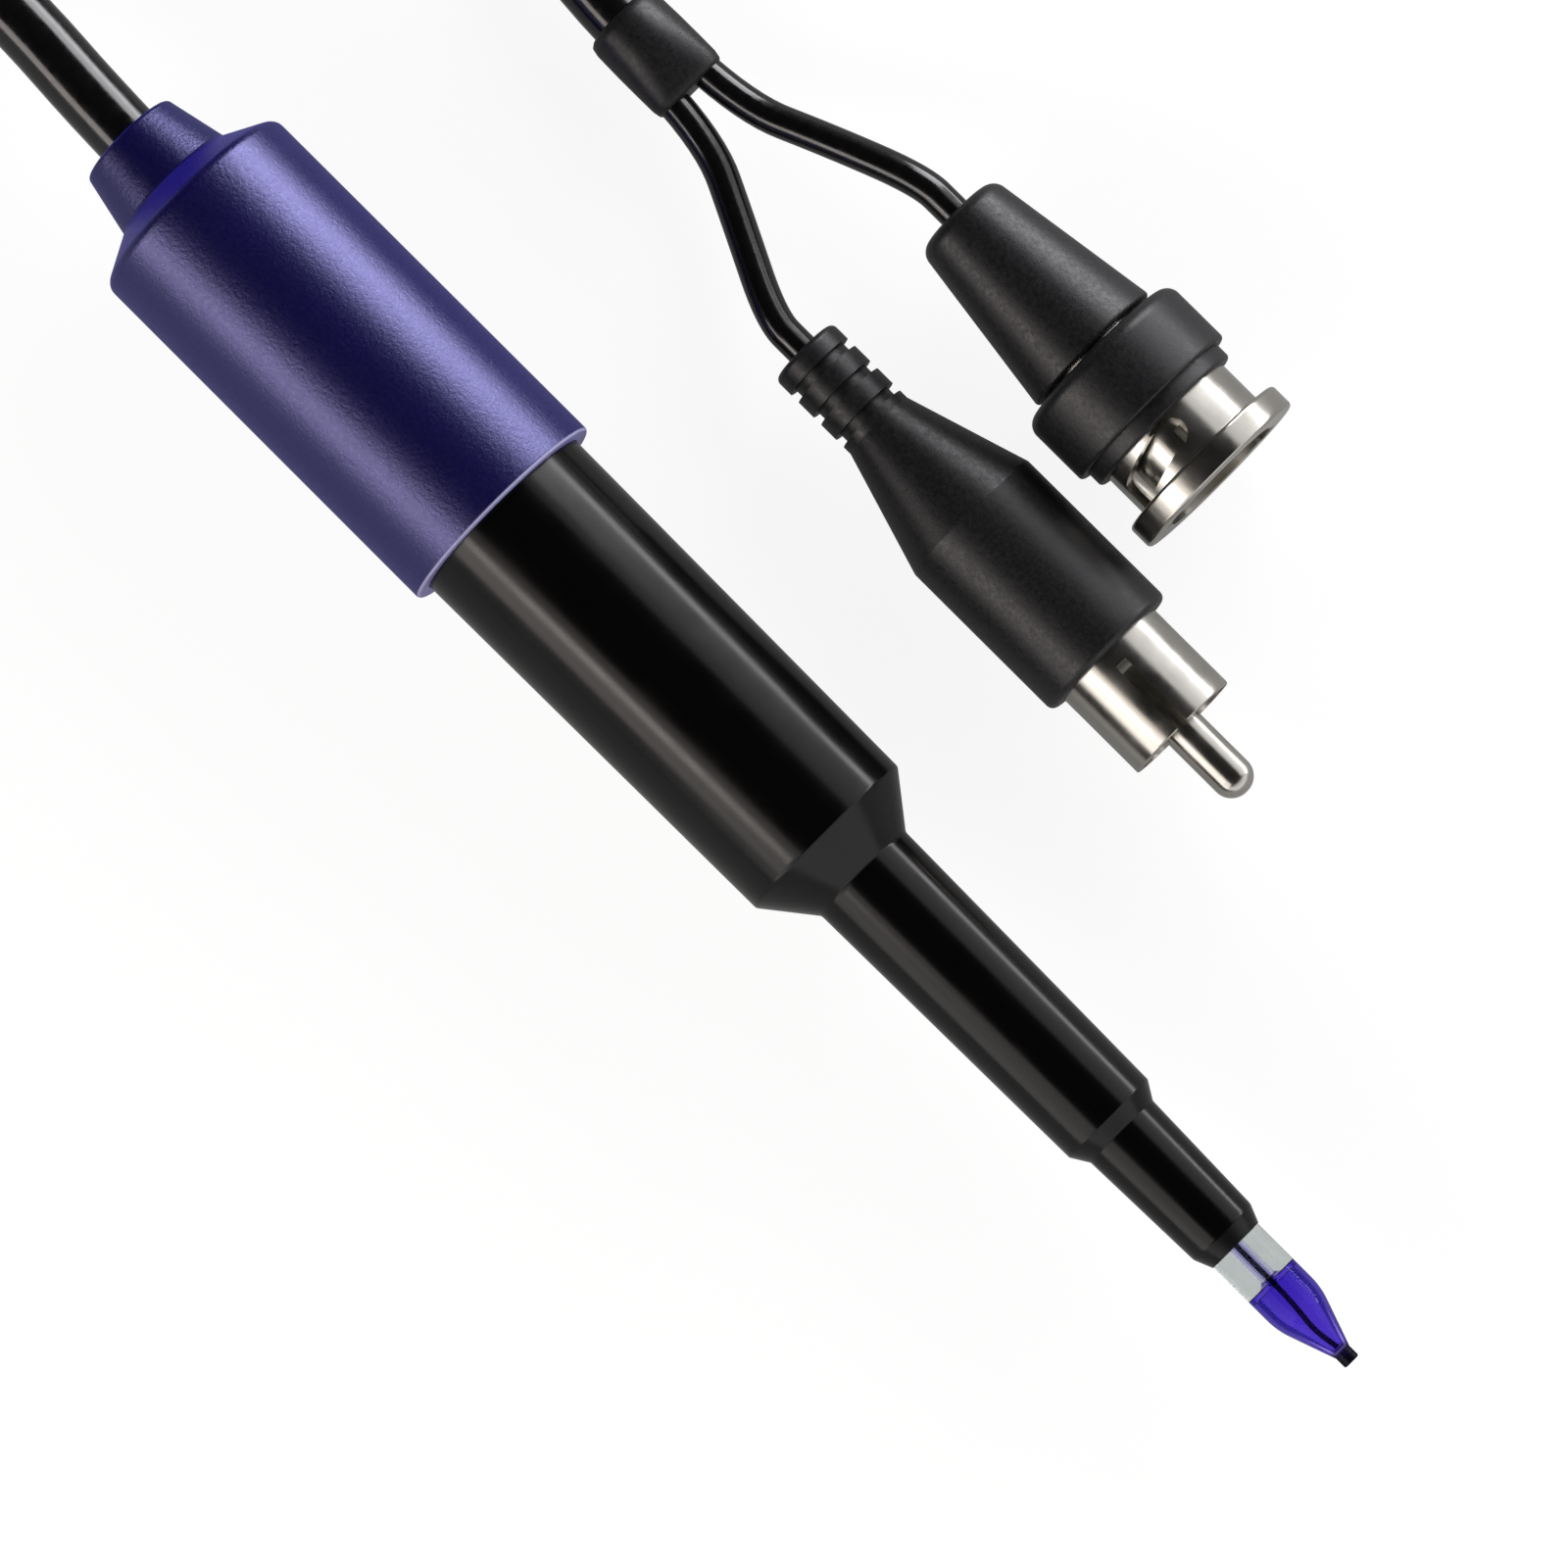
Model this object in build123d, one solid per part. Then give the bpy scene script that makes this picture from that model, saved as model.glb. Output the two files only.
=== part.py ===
from build123d import *
import math
import os

# A spear-tip combination pH electrode with its cable, split and two plugs. Millimetres, X along the
# electrode with the tip at +X, Z up, origin on the floor under the middle of the electrode.

# Electrode outline, from the cable end to the tip
collar_length = 4.8
collar_rear_d = 8.1
collar_front_d = 10.2
shoulder_length = 1.95
barrel_length = 31.85
cap_lip = 1.15
body_length = 33.0
body_rear_d = 14.9
body_draft = 0.5
taper_length = 3.75
stem_length = 24.8
stem_rear_d = 8.55
stem_draft = 0.6
step_length = 1.35
lower_length = 10.1
lower_rear_d = 6.3
lower_draft = 0.55
nose_length = 1.4
nose_lip = 0.065
junction_length = 3.5
glass_d = 4.47
bulb_length = 2.85
cone_length = 4.4
pip_length = 0.95
pip_d = 1.35

# Electrode roundings
collar_rounding = 0.35
shoulder_rounding = 0.9
mouth_rounding = 0.25
taper_rounding = 0.5
step_rounding = 0.25
nose_rounding = 1.0
bulb_rounding = 0.3
ogive_rounding = 5.8
pip_rounding = 0.15

# Inside the electrode
cap_back_wall = 2.2
cap_wall = 2.2
wiring_length = 7.9
body_wall = 1.6
stem_wall = 1.2
lower_wall = 1.0
glass_wall = 0.35
glass_stem_d = 1.3
glass_stem_bore = 0.75
glass_tube_d = 3.0
glass_tube_wall = 0.4
flare_length = 5.0
flare_before_step = 4.0
seal_share = 0.65
seal_width = 1.5
seal_depth = 0.8
bung_before_spigot_end = 3.0
bung_length = 6.0
lead_stub = 1.0
electrolyte_length = 23.0
buffer_length = 50.0
wire_d = 0.4
wire_wave = 0.3
wire_tip_gap = 0.2
sensor_d = 0.9
sensor_length = 2.6
sensor_before_nose = 3.0
sensor_lead_d = 0.5
element_d = 1.2
element_length = 14.0
element_before_taper = 6.0
element_lead_d = 0.5
element_share = 0.6
ferrule_d = 8.0
ferrule_length = 4.5
lead_d = 0.9
lead_spread = 1.4
lead_straight = 1.2

# Cable
cable_d = 5.0
branch_d = 2.5
coil_mean_radius = 26.0
coil_pitch = 5.25
coil_layer = 5.1
coil_x = -107.3
coil_corner = 2.4
coil_exit_angle = 42.0
tie_width = 3.2
tie_thickness = 0.9
tie_head = 4.6
tie_slack = 0.3
split_d = 6.4
split_length = 7.5
split_branch_gap = 0.4
split_rear_x = -44.0
split_y = 31.6

# Bayonet plug
bayonet_x = -16.0
bayonet_y = 38.4
boot_rear_d = 7.4
boot_front_d = 11.4
boot_length = 14.0
boot_rounding = 1.2
ring_gap = 0.3
grip_d = 14.5
grip_length = 7.0
grip_rounding = 1.1
grip_lip = 0.7
grip_lip_length = 1.3
neck_d = 11.6
neck_length = 3.6
flange_thickness = 2.0
flange_rounding = 0.3
jack_bore_d = 9.8
jack_depth = 8.0
rib_thickness = 1.0
bearing_d = 8.5
ring_cavity_d = 10.0
ring_travel = 0.6
thrust_thickness = 1.0
washer_space = 1.0
washer_thickness = 0.3
clip_thickness = 0.5
clip_depth = 0.35
clip_opening = 2.0
gasket_seat_d = 8.3
gasket_d = 9.5
gasket_length = 1.1
contact_d = 8.1
contact_wall = 0.55
contact_recess = 0.9
finger_length = 3.6
finger_slot = 0.6
insulator_wall = 1.05
insulator_floor = 2.0
insulator_recess = 0.5
tail_d = 7.4
tail_length = 7.8
crimp_d = 4.6
crimp_length = 5.4
centre_pin_d = 1.35
centre_pin_recess = 0.8
shank_d = 1.9
shank_length = 5.0
core_d = 0.6
stud_width = 2.2
stud_reach = 5.65
stud_run = 5.0
stud_ramp = 12.0
stud_seat_growth = 0.4
stud_turn = 35.0

# Phono plug
phono_x = -17.0
phono_y = 23.7
relief_d = 5.8
relief_length = 7.7
relief_grooves = 3
groove_pitch = 2.3
groove_width = 0.8
groove_depth = 0.5
moulding_cone_length = 9.5
moulding_d = 11.6
moulding_length = 14.0
moulding_rounding = 0.6
shell_d = 9.2
shell_wall = 0.45
shell_length = 7.5
shell_seat = 3.0
shell_floor = 1.0
petal_slots = 4
petal_slot = 1.0
petal_root = 1.2
shell_tail_d = 5.0
shell_tail_length = 8.0
phono_insulator_length = 2.3
phono_boss_d = 5.2
phono_boss_length = 1.4
phono_pin_d = 3.2
phono_pin_reach = 6.5
phono_shank_d = 2.4
phono_pin_tail_d = 1.4
phono_pin_tail_length = 3.0

# Clearances
fit_gap = 0.03
running_gap = 0.05
cable_gap = 0.05
tie_gap = 0.2

# Diameters that follow from the ones above
cap_d = body_rear_d + 2 * cap_lip
body_front_d = body_rear_d - body_draft
stem_front_d = stem_rear_d - stem_draft
lower_front_d = lower_rear_d - lower_draft
nose_d = glass_d + 2 * nose_lip

# Stations along the electrode, from the collar's rear face
barrel_start = collar_length + shoulder_length
cap_end = barrel_start + barrel_length
taper_start = cap_end + body_length
stem_start = taper_start + taper_length
step_start = stem_start + stem_length
lower_start = step_start + step_length
nose_start = lower_start + lower_length
nose_end = nose_start + nose_length
bulb_start = nose_end + junction_length
bulb_corner = bulb_start + bulb_length
pip_start = bulb_corner + cone_length
electrode_length = pip_start + pip_length
cavity_start = barrel_start + cap_back_wall
spigot_length = barrel_length - cap_back_wall - wiring_length
shaft_rear = cap_end - spigot_length
cable_end = cavity_start + ferrule_length + fit_gap
bung_start = shaft_rear + bung_before_spigot_end
bung_end = bung_start + bung_length
leads_rear = bung_start - lead_stub
flare_end = step_start - flare_before_step
flare_start = flare_end - flare_length
seal_start = cap_end - seal_share * spigot_length
electrolyte_start = taper_start - electrolyte_length
body_bore = body_front_d / 2 - body_wall
stem_bore = stem_front_d / 2 - stem_wall
lower_bore = lower_front_d / 2 - lower_wall
seal_bottom = body_rear_d / 2 - seal_depth
sensor_lead_offset = (glass_tube_d / 2 + stem_bore) / 2
element_offset = element_share * body_bore
axis_height = cap_d / 2

# Stations along the bayonet plug, from the boot's rear face
ring_rear = boot_length + ring_gap
grip_end = ring_rear + grip_length
flange_rear = grip_end + neck_length
ring_front = flange_rear + flange_thickness
rib_front = ring_front - jack_depth
rib_rear = rib_front - rib_thickness
thrust_front = rib_rear - running_gap
thrust_rear = thrust_front - thrust_thickness
clip_front = thrust_rear - washer_space
clip_rear = clip_front - clip_thickness
bearing_end = rib_front + ring_travel + 3 * running_gap
gasket_end = bearing_end + gasket_length
contact_front = ring_front - contact_recess
tail_rear = thrust_rear - tail_length
crimp_rear = tail_rear - crimp_length
insulator_bore = contact_d / 2 - contact_wall
insulator_rear = thrust_rear + running_gap
insulator_front = contact_front - insulator_recess
pin_shoulder = insulator_rear + insulator_floor
centre_pin_front = contact_front - centre_pin_recess
bayonet_z = grip_d / 2

# Stations along the phono plug, from the strain relief's rear face
phono_barrel_start = relief_length + moulding_cone_length
phono_barrel_end = phono_barrel_start + moulding_length
shell_rear = phono_barrel_end - shell_seat
shell_front = phono_barrel_end + shell_length
shell_tail_rear = shell_rear - shell_tail_length
disc_rear = shell_rear + shell_floor + fit_gap
disc_front = disc_rear + phono_insulator_length
boss_front = disc_front + phono_boss_length
phono_tail_rear = disc_rear - phono_pin_tail_length
phono_pin_front = shell_front + phono_pin_reach
phono_z = moulding_d / 2

# The cable's route where it isn't coiled, and the routes of its two branches
coil_reach = 1.25 * coil_pitch
coil_outer_turn = coil_mean_radius + coil_reach
coil_top = cable_d / 2 + coil_layer
electrode_rear_x = -electrode_length / 2
split_front_x = split_rear_x + split_length
split_web_x = split_rear_x + 0.4 * split_length
split_z = split_d / 2
branch_side = (branch_d + split_branch_gap) / 2 + cable_gap
exit_angle = math.radians(coil_exit_angle)
coil_exit = (
    coil_x + coil_outer_turn * math.cos(exit_angle),
    coil_outer_turn * (1 + math.sin(exit_angle)),
    cable_d / 2,
)
lead_route = [
    (electrode_rear_x + cable_end, 0, axis_height),
    (-77.0, 0, axis_height),
    (coil_x, 0, coil_top),
]
tail_route = [
    coil_exit,
    (-74.2, 44.5, 2.5),
    (-63.0, 35.6, 2.6),
    (-51.0, 31.7, 3.1),
    (split_web_x - cable_gap, split_y, split_z),
]
bayonet_route = [
    (split_web_x + cable_gap, split_y + branch_side, split_z),
    (-33.5, split_y + branch_side, split_z),
    (-26.5, 35.9, 5.3),
    (-19.5, bayonet_y, bayonet_z),
    (bayonet_x + tail_rear - cable_gap, bayonet_y, bayonet_z),
]
phono_route = [
    (split_web_x + cable_gap, split_y - branch_side, split_z),
    (-33.5, split_y - branch_side, split_z),
    (-26.8, 26.9, 4.3),
    (-20.3, phono_y, phono_z),
    (phono_x + phono_tail_rear - cable_gap, phono_y, phono_z),
]


def turned(*corners):
    """A solid turned about the X axis, from corners given as (x, radius) or (x, radius, rounding)."""
    points = [(corner[0], corner[1]) for corner in corners]
    roundings = [corner[2] if len(corner) == 3 else 0 for corner in corners]
    outline = FilletPolyline(*points, radius=roundings, close=True)
    return revolve(make_face(outline), Axis.X)


def ring(start, end, inner, outer, rounding=0.0):
    """A ring about the X axis between two stations and two radii."""
    return turned(
        (start, inner, rounding),
        (start, outer, rounding),
        (end, outer, rounding),
        (end, inner, rounding),
    )


def disc(start, end, radius, rounding=0.0):
    """A plain cylinder about the X axis, its front edge rounded."""
    return turned((start, 0), (start, radius), (end, radius, rounding), (end, 0))


def bend_radii(points):
    """The largest radius that each corner of a route has room for."""
    radii = []
    for before, corner, after in zip(points, points[1:], points[2:]):
        run_in = Vector(corner) - Vector(before)
        run_out = Vector(after) - Vector(corner)
        half_turn = math.radians(run_in.get_angle(run_out)) / 2
        radii.append(0.45 * min(run_in.length, run_out.length) / math.tan(half_turn))
    return radii


def rod(points, diameter):
    """A round rod along straight runs joined by tangent arcs."""
    radii = bend_radii(points)
    path = FilletPolyline(*points, radius=radii) if radii else Line(*points)
    start = Plane(origin=path @ 0, z_dir=path % 0)
    return sweep(start * Circle(diameter / 2), path=path)


def cap():
    """The blue moulded cap: conical cable collar, steep shoulder, long grip, open at the front."""
    outside = turned(
        (0, 0),
        (0, collar_rear_d / 2, collar_rounding),
        (collar_length, collar_front_d / 2, collar_rounding),
        (barrel_start, cap_d / 2, shoulder_rounding),
        (cap_end, cap_d / 2, mouth_rounding),
        (cap_end, 0),
    )
    cable_hole = disc(-collar_length, cap_end, cable_d / 2 + cable_gap)
    wire_space = disc(cavity_start, cap_end, cap_d / 2 - cap_wall)
    shaft_bore = disc(shaft_rear, cap_end + spigot_length, body_rear_d / 2 + fit_gap)
    return outside - cable_hole - wire_space - shaft_bore


def shaft_hollow(gap):
    """The inside of the shaft, narrower all round by a gap, open past both of its ends."""
    return turned(
        (shaft_rear - spigot_length, 0),
        (shaft_rear - spigot_length, body_bore - gap),
        (taper_start, body_bore - gap),
        (stem_start, stem_bore - gap),
        (step_start, stem_bore - gap),
        (lower_start, lower_bore - gap),
        (nose_end + junction_length, lower_bore - gap),
        (nose_end + junction_length, 0),
    )


def shaft():
    """The black stepped shaft: spigot in the cap, drafted body, taper, stem, lower stem and nose."""
    outside = turned(
        (shaft_rear, 0),
        (shaft_rear, body_rear_d / 2, taper_rounding),
        (cap_end, body_rear_d / 2),
        (taper_start, body_front_d / 2, taper_rounding),
        (stem_start, stem_rear_d / 2, taper_rounding),
        (step_start, stem_front_d / 2, step_rounding),
        (lower_start, lower_rear_d / 2, step_rounding),
        (nose_start, lower_front_d / 2, nose_rounding),
        (nose_end, nose_d / 2),
        (nose_end, 0),
    )
    seal_groove = ring(seal_start, seal_start + seal_width, seal_bottom, cap_d)
    return outside - shaft_hollow(0) - seal_groove


def shaft_seal():
    """The rubber ring in the spigot's groove, squeezed between the groove and the cap's bore."""
    return ring(
        seal_start + fit_gap,
        seal_start + seal_width - fit_gap,
        seal_bottom + fit_gap,
        body_rear_d / 2,
        seal_depth * 0.4,
    )


def glass_outside(gap):
    """The blown glass as a solid: rear tube, flare, thin stem and spear-shaped membrane."""
    return turned(
        (leads_rear, 0),
        (leads_rear, glass_tube_d / 2 + gap),
        (flare_start, glass_tube_d / 2 + gap),
        (flare_end, glass_stem_d / 2 + gap),
        (bulb_start, glass_stem_d / 2 + gap),
        (bulb_start, glass_d / 2, bulb_rounding),
        (bulb_corner, glass_d / 2, ogive_rounding),
        (pip_start, pip_d / 2),
        (electrode_length, pip_d / 2, pip_rounding),
        (electrode_length, 0),
    )


def glass_hollow(start, gap):
    """The inside of the blown glass from a station forwards, narrower all round by a gap."""
    inner = glass_d / 2 - glass_wall - gap
    slope = (glass_d - pip_d) / 2 / cone_length
    hollow_end = pip_start - glass_wall
    hollow_tip = inner - slope * (hollow_end - bulb_corner)
    tube_bore = glass_tube_d / 2 - glass_tube_wall - gap
    stem = glass_stem_bore / 2 - gap
    return turned(
        (start, 0),
        (start, tube_bore),
        (flare_start, tube_bore),
        (flare_end, stem),
        (bulb_start + glass_wall + gap, stem),
        (bulb_start + glass_wall + gap, inner, bulb_rounding / 2),
        (bulb_corner, inner, ogive_rounding - glass_wall),
        (hollow_end - gap, hollow_tip),
        (hollow_end - gap, 0),
    )


def glass_membrane():
    """The pH glass, one blown piece from the sealed rear tube to the pip at the tip."""
    return glass_outside(0) - glass_hollow(leads_rear - lead_stub, 0)


def inner_wire():
    """The silver wire down the glass, bowed to one side in the membrane and ending against the pip."""
    rear = leads_rear - lead_stub
    membrane_length = bulb_length + cone_length
    points = [
        (rear, 0, 0),
        (bulb_start + 0.25 * membrane_length, 0, 0),
        (bulb_start + 0.65 * membrane_length, -wire_wave, 0),
        (pip_start - glass_wall - wire_tip_gap, 0, 0),
    ]
    return rod(points, wire_d)


def inner_buffer():
    """The buffer gel that fills the membrane and the glass stem round the wire."""
    return glass_hollow(electrode_length - buffer_length, fit_gap) - inner_wire()


def temperature_sensor():
    """The sensor bead beside the glass stem near the nose, with its lead pair back to the bung."""
    offset = (lower_bore + glass_stem_d / 2) / 2
    bead_end = nose_start - sensor_before_nose
    bead_start = bead_end - sensor_length
    bend = (sensor_lead_offset - offset) * 4
    bead = Pos(0, -offset, 0) * disc(bead_start, bead_end, sensor_d / 2, sensor_d / 4)
    lead = rod(
        [
            (bead_start + sensor_d / 2, -offset, 0),
            (step_start - step_length, -offset, 0),
            (step_start - step_length - bend, -sensor_lead_offset, 0),
            (leads_rear, -sensor_lead_offset, 0),
        ],
        sensor_lead_d,
    )
    return bead + lead


def reference_element():
    """The coated silver reference element in the body, with its lead back through the bung."""
    end = taper_start - element_before_taper
    coat_start = end - element_length
    return Pos(0, element_offset, 0) * turned(
        (leads_rear, 0),
        (leads_rear, element_lead_d / 2),
        (coat_start, element_lead_d / 2),
        (coat_start, element_d / 2),
        (end, element_d / 2, element_d / 4),
        (end, 0),
    )


def reference_electrolyte():
    """The polymer electrolyte cast in the shaft, bare as a grey ring between nose and membrane."""
    cast = shaft_hollow(fit_gap)
    cast -= disc(shaft_rear - 2 * spigot_length, electrolyte_start, cap_d)
    cast += disc(nose_end + fit_gap, bulb_start - fit_gap, glass_d / 2)
    return cast - glass_outside(fit_gap) - temperature_sensor() - reference_element()


def shaft_bung():
    """The bung that closes the shaft's rear, with holes for the glass tube and the two leads."""
    bung = disc(bung_start, bung_end, body_bore - fit_gap)
    bung -= disc(leads_rear, bung_end + bung_length, glass_tube_d / 2 + fit_gap)
    holes = [(-sensor_lead_offset, sensor_lead_d), (element_offset, element_lead_d)]
    for offset, diameter in holes:
        hole = disc(leads_rear, bung_end + bung_length, diameter / 2 + fit_gap)
        bung -= Pos(0, offset, 0) * hole
    return bung


def cable_ferrule():
    """The crimped ring on the cable that bears on the cap's back wall when the cable is pulled."""
    return ring(cavity_start, cavity_start + ferrule_length, cable_d / 2 + fit_gap, ferrule_d / 2)


def lead_wires():
    """The three insulated leads from the cable's cut end to the wire, the sensor and the element."""
    ends = [
        (0, leads_rear - lead_stub, 0),
        (-lead_spread, leads_rear, -sensor_lead_offset),
        (lead_spread, leads_rear, element_offset),
    ]
    leads = []
    for cable_side, station, offset in ends:
        start = cable_end + fit_gap
        end = station - fit_gap
        route = [(start, cable_side, 0)]
        if offset:
            route.append((start + lead_straight, cable_side, 0))
            route.append((end - lead_straight, offset, 0))
        route.append((end, offset, 0))
        leads.append(rod(route, lead_d))
    return Compound(children=leads)


def coil_section(growth):
    """The coil's section, a rounded rectangle in the XZ plane, larger all round by a growth."""
    width = 2 * coil_reach + cable_d + 2 * growth
    height = coil_layer + cable_d + 2 * growth
    section = RectangleRounded(width, height, coil_corner + growth)
    return Plane.XZ * Pos(coil_mean_radius, (coil_layer + cable_d) / 2) * section


def strap_section(growth):
    """The strap's opening round three turns by two, in the XZ plane, larger all round by a growth."""
    width = 3 * cable_d + tie_slack + 2 * growth
    height = 2 * cable_d + tie_slack + 2 * growth
    middle = tie_thickness + cable_d + tie_slack / 2
    section = RectangleRounded(width, height, coil_corner + growth)
    return Plane.XZ * Pos(coil_mean_radius, middle) * section


def cable_tie():
    """The strap pulled round the coil, lying on the floor below it, and its square head on top."""
    strap = strap_section(tie_thickness) - strap_section(0)
    band = extrude(strap, tie_width / 2, both=True)
    head_height = tie_head * 0.6
    head_z = 2 * (tie_thickness + cable_d) + tie_slack + head_height / 2
    head = Pos(coil_mean_radius, 0, head_z) * Box(tie_head, tie_head, head_height)
    return band + chamfer(head.edges().group_by(Axis.Z)[-1], tie_thickness / 2)


def cable_coil():
    """The outer shape of the put-away turns, with a waist where the strap pulls them in."""
    turns = revolve(coil_section(0), Axis.Z)
    waist = coil_section(tie_head) - strap_section(-tie_gap)
    return turns - extrude(waist, tie_width / 2 + tie_gap, both=True)


def split_sleeve():
    """The sleeve where the cable parts into its two branches."""
    sleeve = disc(split_rear_x, split_front_x, split_d / 2, boot_rounding / 2)
    sleeve -= disc(split_rear_x - split_length, split_web_x, cable_d / 2 + cable_gap)
    for side in (-branch_side, branch_side):
        hole = disc(split_rear_x, split_front_x + split_length, branch_d / 2 + cable_gap)
        sleeve -= Pos(0, side, 0) * hole
    return sleeve


def bayonet_boot():
    """The plug's conical boot, round at its rear edge, seated on the plug's tail."""
    outside = turned(
        (0, 0),
        (0, boot_rear_d / 2, boot_rounding),
        (boot_length, boot_front_d / 2, flange_rounding),
        (boot_length, 0),
    )
    outside -= disc(-boot_length, boot_length, branch_d / 2 + cable_gap)
    outside -= disc(crimp_rear, boot_length + tail_length, crimp_d / 2 + fit_gap)
    return outside - disc(tail_rear, boot_length + tail_length, tail_d / 2 + fit_gap)


def bayonet_body():
    """The plug's turned body: crimp, tail, thrust flange, bearing, gasket seat, contact fingers."""
    outside = turned(
        (crimp_rear, 0),
        (crimp_rear, crimp_d / 2),
        (tail_rear, crimp_d / 2),
        (tail_rear, tail_d / 2),
        (thrust_rear, tail_d / 2),
        (thrust_rear, ring_cavity_d / 2 - 2 * running_gap),
        (thrust_front, ring_cavity_d / 2 - 2 * running_gap),
        (thrust_front, bearing_d / 2),
        (bearing_end, bearing_d / 2),
        (bearing_end, gasket_seat_d / 2),
        (gasket_end, gasket_seat_d / 2),
        (gasket_end, contact_d / 2),
        (contact_front, contact_d / 2),
        (contact_front, 0),
    )
    body = outside - disc(insulator_rear, ring_front, insulator_bore)
    body -= disc(tail_rear - crimp_length, tail_rear, branch_d / 2 + cable_gap)
    body -= disc(tail_rear - cable_gap, ring_front, shank_d / 2 + 4 * running_gap)
    slot = Pos(contact_front, 0, 0) * Box(2 * finger_length, finger_slot, ring_front)
    return body - slot - Rot(X=90) * slot


def stud_slot():
    """The cut for one bayonet stud: entry from the front, slanted run and round locking seat."""
    slot_x = (grip_end + flange_rear) / 2
    ramp = math.radians(stud_ramp)
    end_x = stud_run / 2 * math.sin(ramp)
    end_y = stud_run / 2 * math.cos(ramp)
    run = SlotCenterToCenter(stud_run, stud_width, rotation=90 + stud_ramp)
    seat = Pos(-end_x, end_y) * Circle((stud_width + stud_seat_growth) / 2)
    entry_length = flange_rear - slot_x - end_x
    entry = Pos(end_x + entry_length / 2, -end_y) * Rectangle(entry_length, stud_width)
    through = Pos(slot_x, 0, jack_bore_d / 4) * extrude(run + seat + entry, flange_thickness + neck_d / 2)
    groove = Pos(ring_front, -end_y, 0) * Box(2 * jack_depth, stud_width, 2 * stud_reach)
    groove &= disc(slot_x + end_x, ring_front + jack_depth, stud_reach)
    groove &= Pos(ring_front, 0, neck_d) * Box(4 * jack_depth, 2 * neck_d, 2 * neck_d)
    return through + groove


def bayonet_ring():
    """The coupling ring: front flange, neck with two bayonet slots, inner rib and clip groove."""
    outside = turned(
        (ring_rear, 0),
        (ring_rear, neck_d / 2),
        (flange_rear, neck_d / 2),
        (flange_rear, grip_d / 2, flange_rounding),
        (ring_front, grip_d / 2, flange_rounding),
        (ring_front, 0),
    )
    coupling = outside - disc(rib_front, ring_front + jack_depth, jack_bore_d / 2)
    coupling -= disc(ring_rear - boot_length, ring_front, bearing_d / 2 + running_gap)
    coupling -= disc(ring_rear - boot_length, rib_rear, ring_cavity_d / 2)
    coupling -= disc(
        clip_rear - running_gap, clip_front + running_gap, ring_cavity_d / 2 + clip_depth + running_gap
    )
    for turn in (stud_turn, stud_turn + 180):
        coupling -= Rot(X=turn) * stud_slot()
    return coupling


def bayonet_grip():
    """The smooth plastic grip moulded on the rear of the coupling ring, with a lip at its front."""
    lip_radius = grip_d / 2 - grip_lip
    outside = turned(
        (ring_rear, 0),
        (ring_rear, grip_d / 2, grip_rounding),
        (grip_end - grip_lip_length, grip_d / 2, flange_rounding),
        (grip_end - grip_lip_length, lip_radius),
        (grip_end, lip_radius, flange_rounding),
        (grip_end, 0),
    )
    return outside - disc(ring_rear - boot_length, ring_front, neck_d / 2 + fit_gap)


def bayonet_clip():
    """The open snap ring in the coupling ring's groove, behind the spring washer."""
    clip = ring(clip_rear, clip_front, tail_d / 2 + 4 * running_gap, ring_cavity_d / 2 + clip_depth)
    opening = Pos((clip_rear + clip_front) / 2, 0, -ring_cavity_d / 2)
    return clip - opening * Box(2 * clip_thickness, clip_opening, ring_cavity_d / 2)


def spring_washer():
    """The bowed spring washer between the snap ring and the body's thrust flange."""
    outer = ring_cavity_d / 2 - 3 * running_gap
    bow = washer_space - washer_thickness - 2 * running_gap
    bend = (outer**2 + bow**2) / (2 * bow)
    front = thrust_rear - running_gap
    sheet = Cylinder(bend, ring_cavity_d) - Cylinder(bend - washer_thickness, ring_cavity_d)
    bowed = Pos(front - bend, 0, 0) * Rot(X=90) * sheet
    return ring(clip_front, thrust_rear, tail_d / 2 + 3 * running_gap, outer) & bowed


def bayonet_gasket():
    """The soft ring on its seat at the foot of the contact fingers."""
    return ring(
        bearing_end + fit_gap,
        gasket_end - fit_gap,
        gasket_seat_d / 2 + fit_gap,
        gasket_d / 2,
        gasket_length / 6,
    )


def bayonet_insulator():
    """The insulating cup inside the contact fingers, with the centre pin through its floor."""
    cup = disc(insulator_rear + fit_gap, insulator_front, insulator_bore - fit_gap)
    cup -= disc(pin_shoulder, ring_front, insulator_bore - insulator_wall)
    return cup - disc(insulator_rear - shank_length, ring_front, shank_d / 2 + fit_gap)


def bayonet_pin():
    """The centre contact: the cable's core, the shank that it is soldered in, and a round-nosed pin."""
    shank_rear = pin_shoulder - shank_length
    return turned(
        (tail_rear, 0),
        (tail_rear, core_d / 2),
        (shank_rear, core_d / 2),
        (shank_rear, shank_d / 2),
        (pin_shoulder + fit_gap, shank_d / 2),
        (pin_shoulder + fit_gap, centre_pin_d / 2),
        (centre_pin_front, centre_pin_d / 2, centre_pin_d * 0.45),
        (centre_pin_front, 0),
    )


def phono_moulding():
    """The plug's black moulding: grooved strain relief, cone and barrel in one piece."""
    moulding = turned(
        (0, 0),
        (0, relief_d / 2, groove_depth),
        (relief_length, relief_d / 2),
        (phono_barrel_start, moulding_d / 2, moulding_rounding),
        (phono_barrel_end, moulding_d / 2, moulding_rounding),
        (phono_barrel_end, 0),
    )
    for index in range(relief_grooves):
        start = relief_length - groove_pitch * (index + 1) + groove_width
        moulding -= ring(start, start + groove_width, relief_d / 2 - groove_depth, relief_d)
    moulding -= disc(-relief_length, phono_barrel_end, branch_d / 2 + cable_gap)
    moulding -= disc(shell_tail_rear, phono_barrel_end, shell_tail_d / 2 + fit_gap)
    return moulding - disc(shell_rear, shell_front, shell_d / 2 + fit_gap)


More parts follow.
